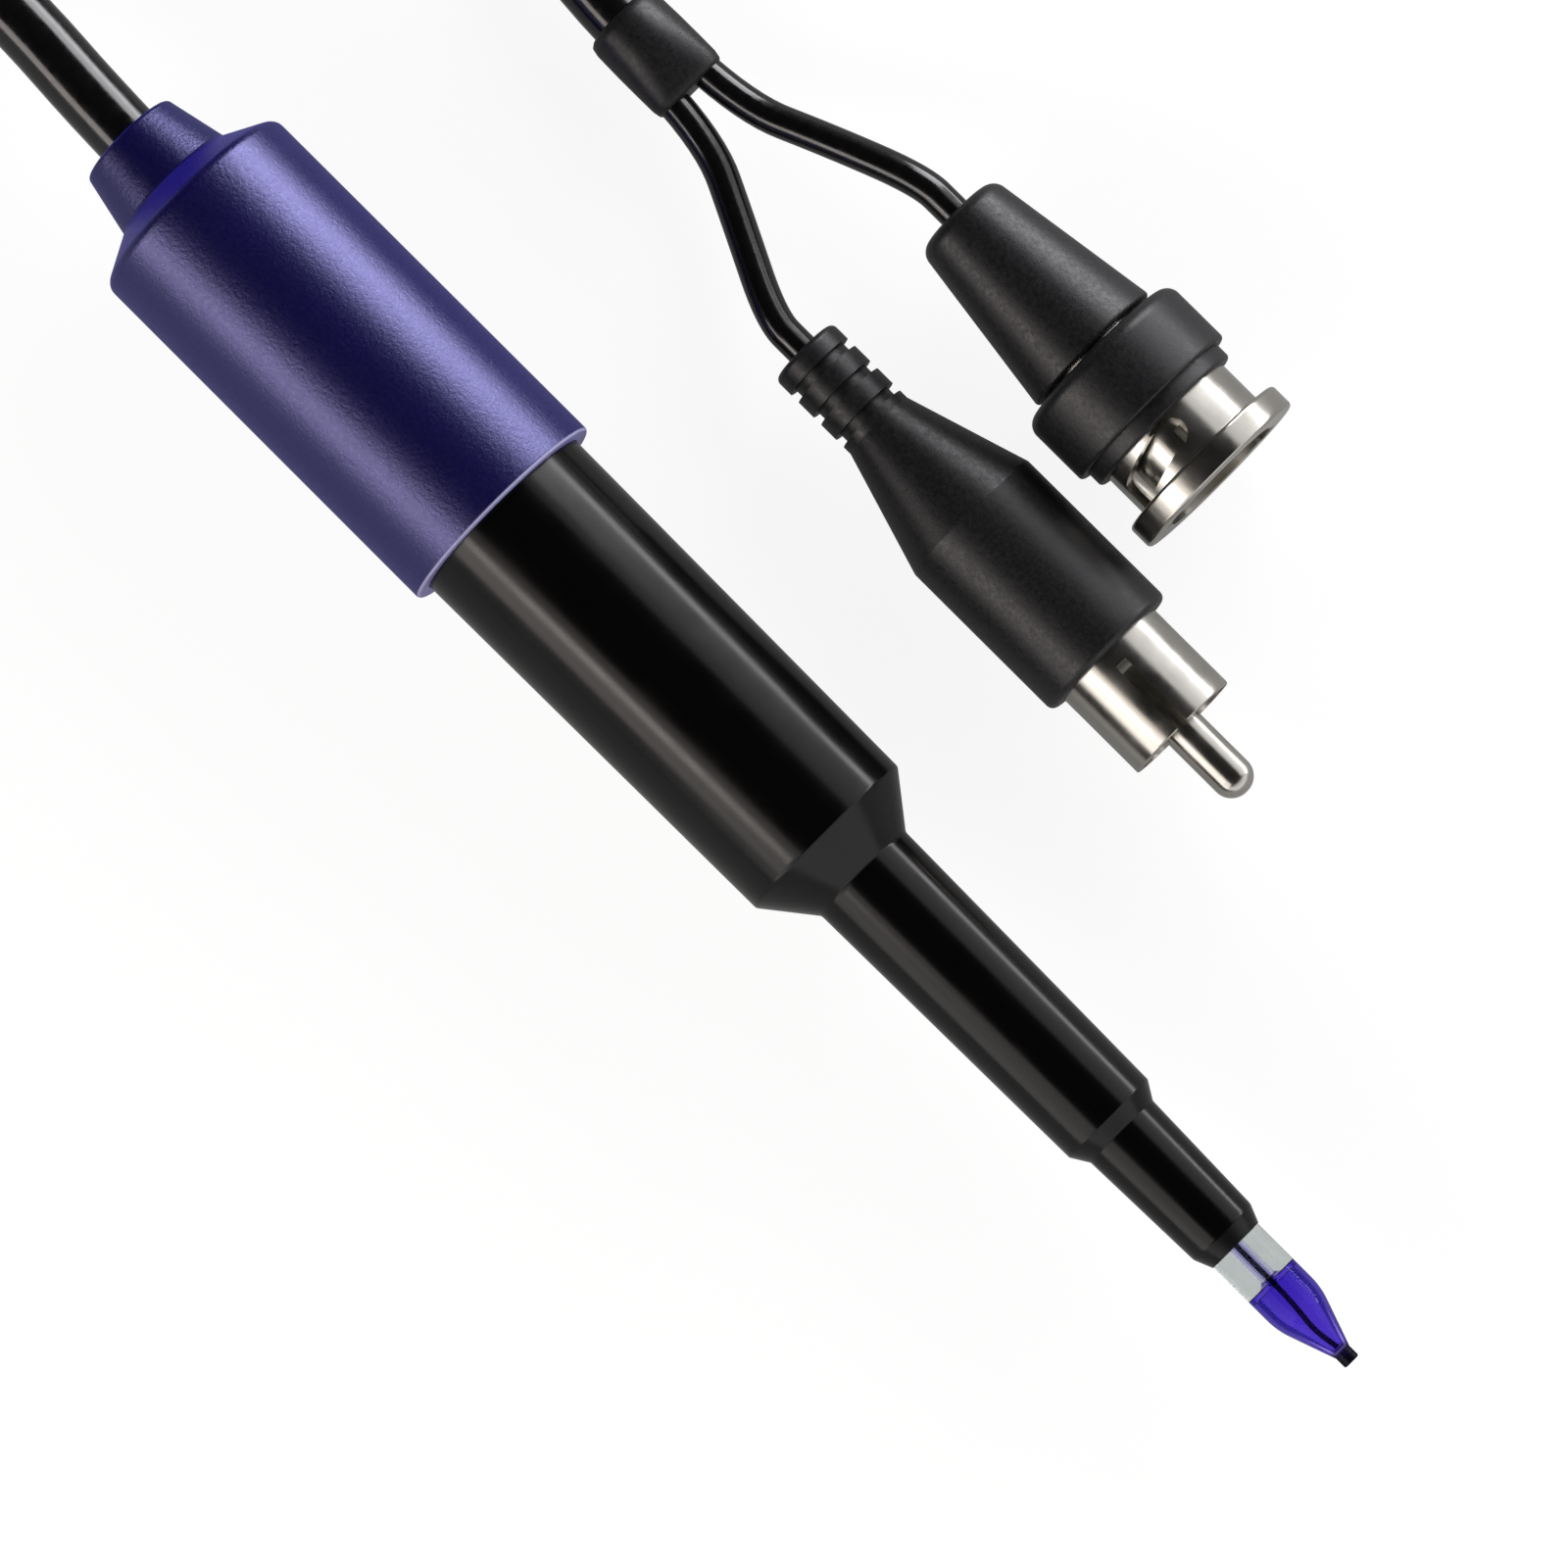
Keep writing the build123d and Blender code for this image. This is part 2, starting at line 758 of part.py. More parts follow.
def phono_shell():
    """The outer contact: slotted petals on a floor, with a crimped tail inside the moulding."""
    shell = disc(shell_rear, shell_front, shell_d / 2, shell_wall / 3)
    shell += disc(shell_tail_rear, shell_rear + shell_floor, shell_tail_d / 2)
    shell -= disc(shell_rear + shell_floor, shell_front + shell_length, shell_d / 2 - shell_wall)
    shell -= disc(shell_tail_rear - shell_tail_length, shell_front, branch_d / 2 + cable_gap)
    slot_length = shell_length - petal_root
    slot = Pos(shell_front, 0, 0) * Box(2 * slot_length, petal_slot, 2 * shell_d)
    for index in range(petal_slots // 2):
        shell -= Rot(X=index * 360 / petal_slots) * slot
    return shell


def phono_insulator():
    """The insulating disc in the shell, with a boss round the pin."""
    insulator = disc(disc_rear, disc_front, shell_d / 2 - shell_wall - fit_gap)
    insulator += disc(disc_rear, boss_front, phono_boss_d / 2, phono_boss_length / 4)
    return insulator - disc(shell_rear, phono_pin_front, phono_shank_d / 2 + fit_gap)


def phono_pin():
    """The round-nosed centre pin: shank in the insulator, thin tail where the core is soldered."""
    pin_start = boss_front + fit_gap
    return turned(
        (phono_tail_rear, 0),
        (phono_tail_rear, phono_pin_tail_d / 2),
        (disc_rear, phono_pin_tail_d / 2),
        (disc_rear, phono_shank_d / 2),
        (pin_start, phono_shank_d / 2),
        (pin_start, phono_pin_d / 2),
        (phono_pin_front, phono_pin_d / 2, phono_pin_d * 0.48),
        (phono_pin_front, 0),
    )


electrode_place = Pos(electrode_rear_x, 0, axis_height)
coil_place = Pos(coil_x, coil_outer_turn, 0)
split_place = Pos(0, split_y, split_z)
bayonet_place = Pos(bayonet_x, bayonet_y, bayonet_z)
phono_place = Pos(phono_x, phono_y, phono_z)

electrode_pieces = [
    cap, shaft, shaft_seal, glass_membrane, inner_wire, inner_buffer, temperature_sensor,
    reference_element, reference_electrolyte, shaft_bung, cable_ferrule, lead_wires,
]
bayonet_pieces = [
    bayonet_boot, bayonet_body, bayonet_ring, bayonet_grip, bayonet_clip, spring_washer,
    bayonet_gasket, bayonet_insulator, bayonet_pin,
]
phono_pieces = [phono_moulding, phono_shell, phono_insulator, phono_pin]
placed = [
    (electrode_place, electrode_pieces),
    (coil_place * Rot(Z=180), [cable_coil, cable_tie]),
    (split_place, [split_sleeve]),
    (bayonet_place, bayonet_pieces),
    (phono_place, phono_pieces),
]
cords = [
    ("cable_lead", lead_route, cable_d),
    ("cable_tail", tail_route, cable_d),
    ("bayonet_branch", bayonet_route, branch_d),
    ("phono_branch", phono_route, branch_d),
]

os.makedirs("parts", exist_ok=True)
for place, pieces in placed:
    for piece in pieces:
        export_step(place * piece(), f"parts/{piece.__name__}.step")
for name, points, diameter in cords:
    cord = rod(points, diameter)
    export_step(cord, f"parts/{name}.step")
    radii = [round(radius, 1) for radius in bend_radii(points)]
    print(name, "bend radii", radii, "length", round(cord.volume / (math.pi * diameter**2 / 4), 2))
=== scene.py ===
import math

import bpy
import numpy as np
from mathutils import Matrix, Vector


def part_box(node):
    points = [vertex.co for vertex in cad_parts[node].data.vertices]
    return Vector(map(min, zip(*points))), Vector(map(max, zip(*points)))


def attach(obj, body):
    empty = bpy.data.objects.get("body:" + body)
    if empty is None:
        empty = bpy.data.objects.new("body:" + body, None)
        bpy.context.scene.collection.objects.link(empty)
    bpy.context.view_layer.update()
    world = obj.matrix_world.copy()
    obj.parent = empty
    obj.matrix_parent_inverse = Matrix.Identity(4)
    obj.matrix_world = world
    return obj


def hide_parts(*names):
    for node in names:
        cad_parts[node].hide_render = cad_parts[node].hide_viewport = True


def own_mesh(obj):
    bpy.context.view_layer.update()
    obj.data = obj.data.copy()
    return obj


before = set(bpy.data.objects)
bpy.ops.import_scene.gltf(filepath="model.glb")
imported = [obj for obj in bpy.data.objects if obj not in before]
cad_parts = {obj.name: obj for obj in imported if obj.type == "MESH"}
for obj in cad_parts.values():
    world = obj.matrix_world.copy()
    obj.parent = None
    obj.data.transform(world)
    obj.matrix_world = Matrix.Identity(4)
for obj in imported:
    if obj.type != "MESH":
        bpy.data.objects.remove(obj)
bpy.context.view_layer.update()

# The shaft: the stepped black moulding that is pushed into meat, cheese or soil up to its taper.
# Injection moulded in POM with a slight draft, bored through for the glass and the electrolyte,
# and pushed into the cap's bore by its rear spigot.
MM = 0.001


def linear_colour(code):
    """An sRGB hex code as a linear colour: each channel through the sRGB curve, with full opacity."""
    channels = np.array([int(code[start:start + 2], 16) for start in (1, 3, 5)]) / 255
    linear = np.where(channels <= 0.04045, channels / 12.92, ((channels + 0.055) / 1.055) ** 2.4)
    return (*linear.tolist(), 1.0)


def add_node(tree, kind, inputs=None, **settings):
    """Adds a node with its settings. An input takes a value, or the output socket to be linked to it."""
    node = tree.nodes.new(kind)
    for name, value in settings.items():
        setattr(node, name, value)
    for name, value in (inputs or {}).items():
        if isinstance(value, bpy.types.NodeSocket):
            tree.links.new(value, node.inputs[name])
        else:
            node.inputs[name].default_value = value
    return node


def start_material(name):
    """A new material with its tree, its Principled shader and the piece's Object coordinates."""
    material = bpy.data.materials.new(name)
    material.use_nodes = True
    tree = material.node_tree
    place = tree.nodes.new("ShaderNodeTexCoord").outputs["Object"]
    return material, tree, tree.nodes["Principled BSDF"], place


def outline(corners, closed, arc_steps=7, least=0.04, support=0.05):
    """Points along straight runs between corners (station, radius, rounding), in millimetres.
    Each corner becomes an arc tangent to both of its runs: the arc's points are the spherical mean
    of its two end points seen from its centre. A support point beside each arc keeps the runs flat."""
    places = np.array([corner[:2] for corner in corners], float)
    rounds = [max(corner[2], least) if len(corner) == 3 else least for corner in corners]
    share = np.linspace(0, 1, arc_steps)[:, None]
    points = []
    for index, (corner, rounding) in enumerate(zip(places, rounds)):
        if not closed and index in (0, len(places) - 1):
            points.append(corner[None])
            continue
        before = places[index - 1] - corner
        after = places[(index + 1) % len(places)] - corner
        before /= np.linalg.norm(before)
        after /= np.linalg.norm(after)
        half = math.acos(np.clip(before @ after, -1, 1)) / 2
        reach = rounding / math.tan(half)
        middle = corner + (before + after) / np.linalg.norm(before + after) * rounding / math.sin(half)
        sweep = math.pi - 2 * half
        first = corner + before * reach - middle
        last = corner + after * reach - middle
        arc = (np.sin((1 - share) * sweep) * first + np.sin(share * sweep) * last) / math.sin(sweep)
        points.append((corner + before * (reach + support))[None])
        points.append(middle + arc)
        points.append((corner + after * (reach + support))[None])
    return np.concatenate(points)


def mesh_piece(name, vertices, faces, material):
    """A mesh object at the origin from vertices in metres, shaded smooth."""
    mesh = bpy.data.meshes.new(name)
    mesh.from_pydata(vertices.tolist(), [], faces)
    mesh.shade_smooth()
    mesh.materials.append(material)
    piece = bpy.data.objects.new(name, mesh)
    bpy.context.scene.collection.objects.link(piece)
    return piece


def grid_faces(rows, columns, joined):
    """Quads over a grid numbered row by row. The columns close on themselves; joined closes the rows."""
    number = np.arange(rows * columns).reshape(rows, columns)
    if joined:
        number = np.concatenate([number, number[:1]])
    ahead = np.roll(number, -1, axis=1)
    return np.stack([number[:-1], ahead[:-1], ahead[1:], number[1:]], axis=-1).reshape(-1, 4).tolist()


def turned_piece(name, corners, axis, material, closed=True, around=128):
    """A surface of revolution: each outline point (station, radius) goes once round the X axis, as
    (station, radius cos a, radius sin a). An open outline starts and ends on the axis, at a pole."""
    points = outline(corners, closed)
    rings = points if closed else points[1:-1]
    angle = np.linspace(0, 2 * math.pi, around, endpoint=False)
    grid = np.empty((len(rings), around, 3))
    grid[..., 0] = rings[:, :1]
    grid[..., 1] = rings[:, 1:] * np.cos(angle)
    grid[..., 2] = rings[:, 1:] * np.sin(angle)
    vertices = grid.reshape(-1, 3)
    faces = grid_faces(len(rings), around, closed)
    if not closed:
        here = np.arange(around)
        ahead = np.roll(here, -1)
        first = np.full(around, len(vertices))
        end_ring = len(vertices) - around
        faces += np.stack([first, ahead, here], axis=-1).tolist()
        faces += np.stack([first + 1, here + end_ring, ahead + end_ring], axis=-1).tolist()
        vertices = np.concatenate([vertices, [[points[0, 0], 0, 0], [points[-1, 0], 0, 0]]])
    return mesh_piece(name, (vertices + axis) * MM, faces, material)


# Stations are millimetres from the collar's rear face along the electrode, radii from its axis.
cap_low, cap_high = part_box("cap")
shaft_low, shaft_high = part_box("shaft")
electrode_axis = np.array([cap_low.x, 0.0, (cap_low.z + cap_high.z) / 2]) / MM
cap_end = (cap_high.x - cap_low.x) / MM
shaft_rear = (shaft_low.x - cap_low.x) / MM
nose_end = (shaft_high.x - cap_low.x) / MM
taper_start = cap_end + 33.0
stem_start = taper_start + 3.75
step_start = stem_start + 24.8
lower_start = step_start + 1.35
nose_start = nose_end - 1.4
body_rear, body_front = 7.45, 7.2
stem_rear, stem_front = 4.275, 3.975
lower_rear, lower_front = 3.15, 2.875
nose_rim = 2.3
body_bore, stem_bore, lower_bore = 5.6, 2.775, 1.875

# Moulded black POM: a smooth, faintly waxy skin. Its gloss shows soft-edged bands of light, a little
# uneven because the mould was polished by hand (patches 3 mm across, fine orange peel 0.25 mm).
black_pom, tree, skin, place = start_material("moulded_black_pom")
patches = add_node(tree, "ShaderNodeTexNoise", {"Vector": place, "Scale": 1 / (3 * MM), "Detail": 3})
peel = add_node(tree, "ShaderNodeTexNoise", {"Vector": place, "Scale": 1 / (0.25 * MM), "Detail": 2})
gloss = add_node(tree, "ShaderNodeMapRange", {
    "Value": patches.outputs["Fac"], "From Min": 0.3, "From Max": 0.7, "To Min": 0.17, "To Max": 0.22})
grain = add_node(tree, "ShaderNodeBump", {
    "Height": peel.outputs["Fac"], "Strength": 1.0, "Distance": 0.0012 * MM})
tree.links.new(gloss.outputs["Result"], skin.inputs["Roughness"])
tree.links.new(grain.outputs["Normal"], skin.inputs["Normal"])
skin.inputs["Base Color"].default_value = linear_colour("#070606")
skin.inputs["IOR"].default_value = 1.4

shaft = turned_piece("shaft_moulding", [
    (shaft_rear, body_bore), (shaft_rear, body_rear, 0.5), (cap_end, body_rear),
    (taper_start, body_front, 0.5), (stem_start, stem_rear, 0.5), (step_start, stem_front, 0.25),
    (lower_start, lower_rear, 0.25), (nose_start, lower_front, 1.0), (nose_end, nose_rim),
    (nose_end, lower_bore), (lower_start, lower_bore), (step_start, stem_bore), (stem_start, stem_bore),
    (taper_start, body_bore),
], electrode_axis, black_pom)
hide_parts("shaft")
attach(shaft, "electrode")

# The pH membrane: one piece of blown glass, from a rear tube down to a thin stem, then the spear-shaped
# bulb of thin blue pH glass, drawn off at the tip in a small dark pip. It is cast into the shaft.
membrane_low, membrane_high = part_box("glass_membrane")
glass_rear = (membrane_low.x - cap_low.x) / MM
tip = (membrane_high.x - cap_low.x) / MM
bulb_start = nose_end + 3.5
bulb_corner = bulb_start + 2.85
pip_start = tip - 0.95
flare_end = step_start - 4.0
flare_start = flare_end - 5.0
tube_radius, tube_bore = 1.5, 1.1
thin_radius, thin_bore = 0.65, 0.375
bulb_radius, bulb_curve, bulb_wall = 2.235, 5.8, 0.35
pip_radius = 0.675
hollow_radius, hollow_curve = bulb_radius - bulb_wall, bulb_curve - bulb_wall
hollow_start, hollow_end = bulb_start + bulb_wall, pip_start - bulb_wall
narrowing = (bulb_radius - pip_radius) / (pip_start - bulb_corner)
hollow_tip = hollow_radius - narrowing * (hollow_end - bulb_corner)

# Blue pH glass, blown thin: clear, fire-polished, tinted through its wall and almost black where the
# drawn-off pip is solid. The stem behind the bulb is the same glass, paler because it is plain tube.
blue_glass, tree, skin, place = start_material("blown_blue_ph_glass")
along = add_node(tree, "ShaderNodeSeparateXYZ", {"Vector": place}).outputs["X"]
stage = add_node(tree, "ShaderNodeMapRange", {
    "Value": along, "From Min": cap_low.x + (bulb_start - 1.0) * MM,
    "From Max": cap_low.x + (tip - 0.2) * MM})
tint = add_node(tree, "ShaderNodeValToRGB", {"Fac": stage.outputs["Result"]})
tint.color_ramp.elements[0].color = linear_colour("#dcd8f6")
tint.color_ramp.elements[1].color = linear_colour("#0a0714")
tint.color_ramp.elements[1].position = 0.97
for position, code in ((0.1, "#dcd8f6"), (0.115, "#472ebb"), (0.147, "#472ebb"), (0.16, "#7e66d3"),
                       (0.45, "#8d74da"), (0.84, "#937cde"), (0.9, "#140d30")):
    tint.color_ramp.elements.new(position).color = linear_colour(code)
edge_on = add_node(tree, "ShaderNodeLayerWeight", {"Blend": 0.5})
depth = add_node(tree, "ShaderNodeMapRange", {
    "Value": edge_on.outputs["Facing"], "From Min": 0.35, "From Max": 0.45})
in_bulb = add_node(tree, "ShaderNodeMapRange", {
    "Value": stage.outputs["Result"], "From Min": 0.1, "From Max": 0.125})
deep = add_node(tree, "ShaderNodeMath", {
    0: depth.outputs["Result"], 1: in_bulb.outputs["Result"]}, operation="MULTIPLY")
deep_tint = add_node(tree, "ShaderNodeMix", {
    "Factor": deep.outputs[0], "A": tint.outputs["Color"], "B": linear_colour("#443c98")},
    data_type="RGBA", blend_type="MULTIPLY")
tree.links.new(deep_tint.outputs["Result"], skin.inputs["Base Color"])
skin.inputs["Transmission Weight"].default_value = 1.0
skin.inputs["Roughness"].default_value = 0.03
skin.inputs["IOR"].default_value = 1.2

glass = turned_piece("blown_glass", [
    (hollow_end, 0), (hollow_end, hollow_tip), (bulb_corner, hollow_radius, hollow_curve),
    (hollow_start, hollow_radius, 0.15), (hollow_start, thin_bore), (flare_end, thin_bore),
    (flare_start, tube_bore), (glass_rear, tube_bore), (glass_rear, tube_radius),
    (flare_start, tube_radius), (flare_end, thin_radius), (bulb_start, thin_radius, 0.4),
    (bulb_start, bulb_radius, 0.12), (bulb_corner, bulb_radius, bulb_curve), (pip_start, pip_radius),
    (tip, pip_radius, 0.15), (tip, 0),
], electrode_axis, blue_glass, closed=False)
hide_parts("glass_membrane")
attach(glass, "electrode")

# The buffer gel: poured into the glass round its silver wire, up to 50 mm behind the tip.
filling_gap = 0.03
gel_rear = tip - 50.0
gel_tube = tube_bore - filling_gap
gel_thin = thin_bore - filling_gap
gel_bulb = hollow_radius - filling_gap
gel_start, gel_end = hollow_start + filling_gap, hollow_end - filling_gap

# Clear gel: water-clear, so it bends light hardly more than what it lies against.
buffer_gel, tree, skin, place = start_material("clear_buffer_gel")
cloud = add_node(tree, "ShaderNodeTexNoise", {"Vector": place, "Scale": 1 / (1.5 * MM)})
haze = add_node(tree, "ShaderNodeValToRGB", {"Fac": cloud.outputs["Fac"]})
haze.color_ramp.elements[0].color = linear_colour("#d9d6f6")
haze.color_ramp.elements[1].color = linear_colour("#efeefb")
tree.links.new(haze.outputs["Color"], skin.inputs["Base Color"])
skin.inputs["Transmission Weight"].default_value = 1.0
skin.inputs["Roughness"].default_value = 0.0
skin.inputs["IOR"].default_value = 1.03

gel = turned_piece("gel_filling", [
    (gel_rear, 0), (gel_rear, gel_tube), (flare_start, gel_tube), (flare_end, gel_thin),
    (gel_start, gel_thin), (gel_start, gel_bulb, 0.15), (bulb_corner, gel_bulb, hollow_curve),
    (gel_end, hollow_tip - filling_gap), (gel_end, 0),
], electrode_axis, buffer_gel, closed=False)
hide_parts("inner_buffer")
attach(gel, "electrode")

# The silver wires of glass and reference: drawn silver, blackened by a chloride coat, dull and dark with a
# blue cast. The coat's grain is 0.3 mm.
chlorided_silver, tree, skin, place = start_material("chlorided_silver_wire")
coat = add_node(tree, "ShaderNodeTexNoise", {"Vector": place, "Scale": 1 / (0.3 * MM), "Detail": 4})
shade = add_node(tree, "ShaderNodeValToRGB", {"Fac": coat.outputs["Fac"]})
shade.color_ramp.elements[0].color = linear_colour("#07061a")
shade.color_ramp.elements[1].color = linear_colour("#1b1830")
tree.links.new(shade.outputs["Color"], skin.inputs["Base Color"])
skin.inputs["Roughness"].default_value = 0.55
for node in ("inner_wire", "reference_element"):
    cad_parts[node].data.materials.clear()
    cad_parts[node].data.materials.append(chlorided_silver)

# The junction: polymer electrolyte cast in the shaft round the glass stem. It stands bare as a grey,
# clear ring between nose and membrane, where it touches the sample, so no porous plug is needed.
cast_rear = (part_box("reference_electrolyte")[0].x - cap_low.x) / MM
cast_front = bulb_start + 0.1
cast_body = body_bore - filling_gap
cast_stem = stem_bore - filling_gap
cast_lower = lower_bore - filling_gap
round_tube, round_thin = tube_radius + filling_gap, thin_radius + filling_gap
ring_start = nose_end + filling_gap

# Cast polymer electrolyte: clear like firm jelly, greyish in its depth, with faint clouds 1 mm across. Its
# grey lies on the outside only, so that the glass stem inside stays clear.
cast_polymer, tree, skin, place = start_material("cast_polymer_electrolyte")
cloud = add_node(tree, "ShaderNodeTexNoise", {"Vector": place, "Scale": 1 / (1.0 * MM), "Detail": 3})
depth = add_node(tree, "ShaderNodeValToRGB", {"Fac": cloud.outputs["Fac"]})
depth.color_ramp.elements[0].color = linear_colour("#a9afae")
depth.color_ramp.elements[1].color = linear_colour("#bdc2c1")
from_axis = add_node(tree, "ShaderNodeMapping", {
    "Vector": place, "Location": (0, 0, -electrode_axis[2] * MM), "Scale": (0, 1, 1)})
radius = add_node(tree, "ShaderNodeVectorMath", {0: from_axis.outputs["Vector"]}, operation="LENGTH")
outside = add_node(tree, "ShaderNodeMapRange", {
    "Value": radius.outputs["Value"], "From Min": 0.8 * MM, "From Max": 1.2 * MM})
clear = add_node(tree, "ShaderNodeMix", {
    "Factor": outside.outputs["Result"], "A": (1, 1, 1, 1), "B": depth.outputs["Color"]}, data_type="RGBA")
tree.links.new(clear.outputs["Result"], skin.inputs["Base Color"])
skin.inputs["Transmission Weight"].default_value = 1.0
skin.inputs["Roughness"].default_value = 0.12
skin.inputs["IOR"].default_value = 1.12

electrolyte = turned_piece("cast_electrolyte", [
    (cast_rear, round_tube), (cast_rear, cast_body), (taper_start, cast_body), (stem_start, cast_stem),
    (step_start, cast_stem), (lower_start, cast_lower), (ring_start, cast_lower),
    (ring_start, bulb_radius), (cast_front, bulb_radius), (cast_front, round_thin, 0.4),
    (flare_end, round_thin), (flare_start, round_tube),
], electrode_axis, cast_polymer)
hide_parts("reference_electrolyte")
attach(electrolyte, "electrode")

# Hidden inside: the temperature bead and its lead, the rubber bung, sealing ring and plug gasket, the brass
# ferrule crimped on the cable and the three insulated leads soldered between cable and glass.
hidden_finishes = [
    ("epoxy_dipped_bead", ("temperature_sensor",), "#201f1c", "#34322c", 0.3, 0.0, 0.4),
    ("black_nitrile_rubber", ("shaft_seal", "shaft_bung", "bayonet_gasket"),
     "#141414", "#222222", 0.7, 0.0, 0.2),
    ("turned_brass", ("cable_ferrule",), "#a98b49", "#c4a869", 0.3, 1.0, 0.15),
    ("red_silicone_insulation", ("lead_wires",), "#8f1a17", "#a52520", 0.45, 0.0, 0.5),
]
for name, nodes, dark, light, roughness, metallic, grain_size in hidden_finishes:
    material, tree, skin, place = start_material(name)
    speck = add_node(tree, "ShaderNodeTexNoise", {
        "Vector": place, "Scale": 1 / (grain_size * MM), "Detail": 3})
    shade = add_node(tree, "ShaderNodeValToRGB", {"Fac": speck.outputs["Fac"]})
    shade.color_ramp.elements[0].color = linear_colour(dark)
    shade.color_ramp.elements[1].color = linear_colour(light)
    tree.links.new(shade.outputs["Color"], skin.inputs["Base Color"])
    skin.inputs["Roughness"].default_value = roughness
    skin.inputs["Metallic"].default_value = metallic
    for node in nodes:
        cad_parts[node].data.materials.clear()
        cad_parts[node].data.materials.append(material)

# The cap: violet-blue grip moulding with a conical collar for the cable and a steep shoulder.
# Injection moulded in ABS, bored for the shaft's spigot, which is glued in against the sealing ring.
collar_end, barrel_start = 4.8, 6.75
inner_rear = barrel_start + 2.2
collar_rear, collar_front, barrel_radius = 4.05, 5.1, 8.6
cable_bore, inner_bore, spigot_bore = 2.55, 6.4, 7.48

# Satin moulded ABS: coloured through, with a fine spark-eroded grain (about 0.3 mm) that breaks the
# highlights up, a violet sheen where it is seen edge-on, and soft drifts of tone 5 mm across. A pale
# lilac band round the rim of the mouth is a painted highlight, where that edge catches the light.
satin_abs, tree, skin, place = start_material("satin_violet_abs")
along = add_node(tree, "ShaderNodeSeparateXYZ", {"Vector": place}).outputs["X"]
drift = add_node(tree, "ShaderNodeTexNoise", {"Vector": place, "Scale": 1 / (5 * MM), "Detail": 2})
tone = add_node(tree, "ShaderNodeValToRGB", {"Fac": drift.outputs["Fac"]})
tone.color_ramp.elements[0].color = linear_colour("#09043a")
tone.color_ramp.elements[1].color = linear_colour("#0e0749")
# Painted highlight: the last 0.1 to 0.22 mm before the mouth turn pale lilac, as if the rim caught the
# light.
rim_highlight_band = add_node(tree, "ShaderNodeMapRange", {
    "Value": along, "From Min": cap_high.x - 0.22 * MM, "From Max": cap_high.x - 0.1 * MM})
colour_and_rim_highlight = add_node(tree, "ShaderNodeMix", {
    "Factor": rim_highlight_band.outputs["Result"], "A": tone.outputs["Color"], "B": linear_colour("#d8d5f4")},
    data_type="RGBA")
speckle = add_node(tree, "ShaderNodeTexNoise", {
    "Vector": place, "Scale": 1 / (0.3 * MM), "Detail": 4, "Roughness": 0.7})
gloss = add_node(tree, "ShaderNodeMapRange", {
    "Value": speckle.outputs["Fac"], "From Min": 0.3, "From Max": 0.7, "To Min": 0.25, "To Max": 0.36})
grain = add_node(tree, "ShaderNodeBump", {
    "Height": speckle.outputs["Fac"], "Strength": 1.0, "Distance": 0.036 * MM})
tree.links.new(colour_and_rim_highlight.outputs["Result"], skin.inputs["Base Color"])
tree.links.new(gloss.outputs["Result"], skin.inputs["Roughness"])
tree.links.new(grain.outputs["Normal"], skin.inputs["Normal"])
skin.inputs["IOR"].default_value = 1.75
skin.inputs["Specular IOR Level"].default_value = 1.0
skin.inputs["Sheen Weight"].default_value = 0.6
skin.inputs["Sheen Roughness"].default_value = 0.5
skin.inputs["Sheen Tint"].default_value = linear_colour("#5044f4")
skin.inputs["Specular Tint"].default_value = linear_colour("#b6b4f6")

cap = turned_piece("cap_moulding", [
    (0, cable_bore), (0, collar_rear, 0.35), (collar_end, collar_front, 0.35),
    (barrel_start, barrel_radius, 0.9), (cap_end, barrel_radius, 0.25), (cap_end, spigot_bore),
    (shaft_rear, spigot_bore), (shaft_rear, inner_bore), (inner_rear, inner_bore), (inner_rear, cable_bore),
], electrode_axis, satin_abs)
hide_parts("cap")
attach(cap, "electrode")

# The cable: 1 m of round two-core screened cable, 5 mm thick, crimped in the cap. Its length is put
# away in a flat coil of two layers that winds in on top and out again below, held by a tie.
cable_diameter = 5.0
lead_route = [(-48.87, 0, 8.6), (-63.0, 0, 8.6), (-77.0, 1.0, 8.6)]
coil_centre = Vector((-107.3, 32.5625))
coil_pitch = 5.25
coil_entry_radius = 32.5625
coil_low, coil_high = 2.5, 7.6
drop_turn, drop_width = 2.75, 0.34
coil_turns = 5 + 228 / 360
points_per_turn = 24
tie_lift, tie_swell = 0.9, 0.09
tail_route = [(-74.2, 44.5, 2.5), (-63.0, 35.6, 2.6), (-51.0, 31.7, 3.1), (-41.05, 31.6, 3.2)]

# Extruded PVC jacket: black, smooth and a little glossy, faintly uneven, with small scuffs (about 0.6 mm)
# that dull the gloss.
pvc_jacket, tree, skin, place = start_material("extruded_black_pvc")
scuffs = add_node(tree, "ShaderNodeTexNoise", {"Vector": place, "Scale": 1 / (0.6 * MM), "Detail": 4})
gloss = add_node(tree, "ShaderNodeMapRange", {
    "Value": scuffs.outputs["Fac"], "From Min": 0.35, "From Max": 0.7, "To Min": 0.14, "To Max": 0.22})
shade = add_node(tree, "ShaderNodeValToRGB", {"Fac": scuffs.outputs["Fac"]})
shade.color_ramp.elements[0].color = linear_colour("#0b0b0c")
shade.color_ramp.elements[1].color = linear_colour("#111113")
ripple = add_node(tree, "ShaderNodeBump", {
    "Height": scuffs.outputs["Fac"], "Strength": 1.0, "Distance": 0.002 * MM})
tree.links.new(shade.outputs["Color"], skin.inputs["Base Color"])
tree.links.new(gloss.outputs["Result"], skin.inputs["Roughness"])
tree.links.new(ripple.outputs["Normal"], skin.inputs["Normal"])
skin.inputs["IOR"].default_value = 1.6


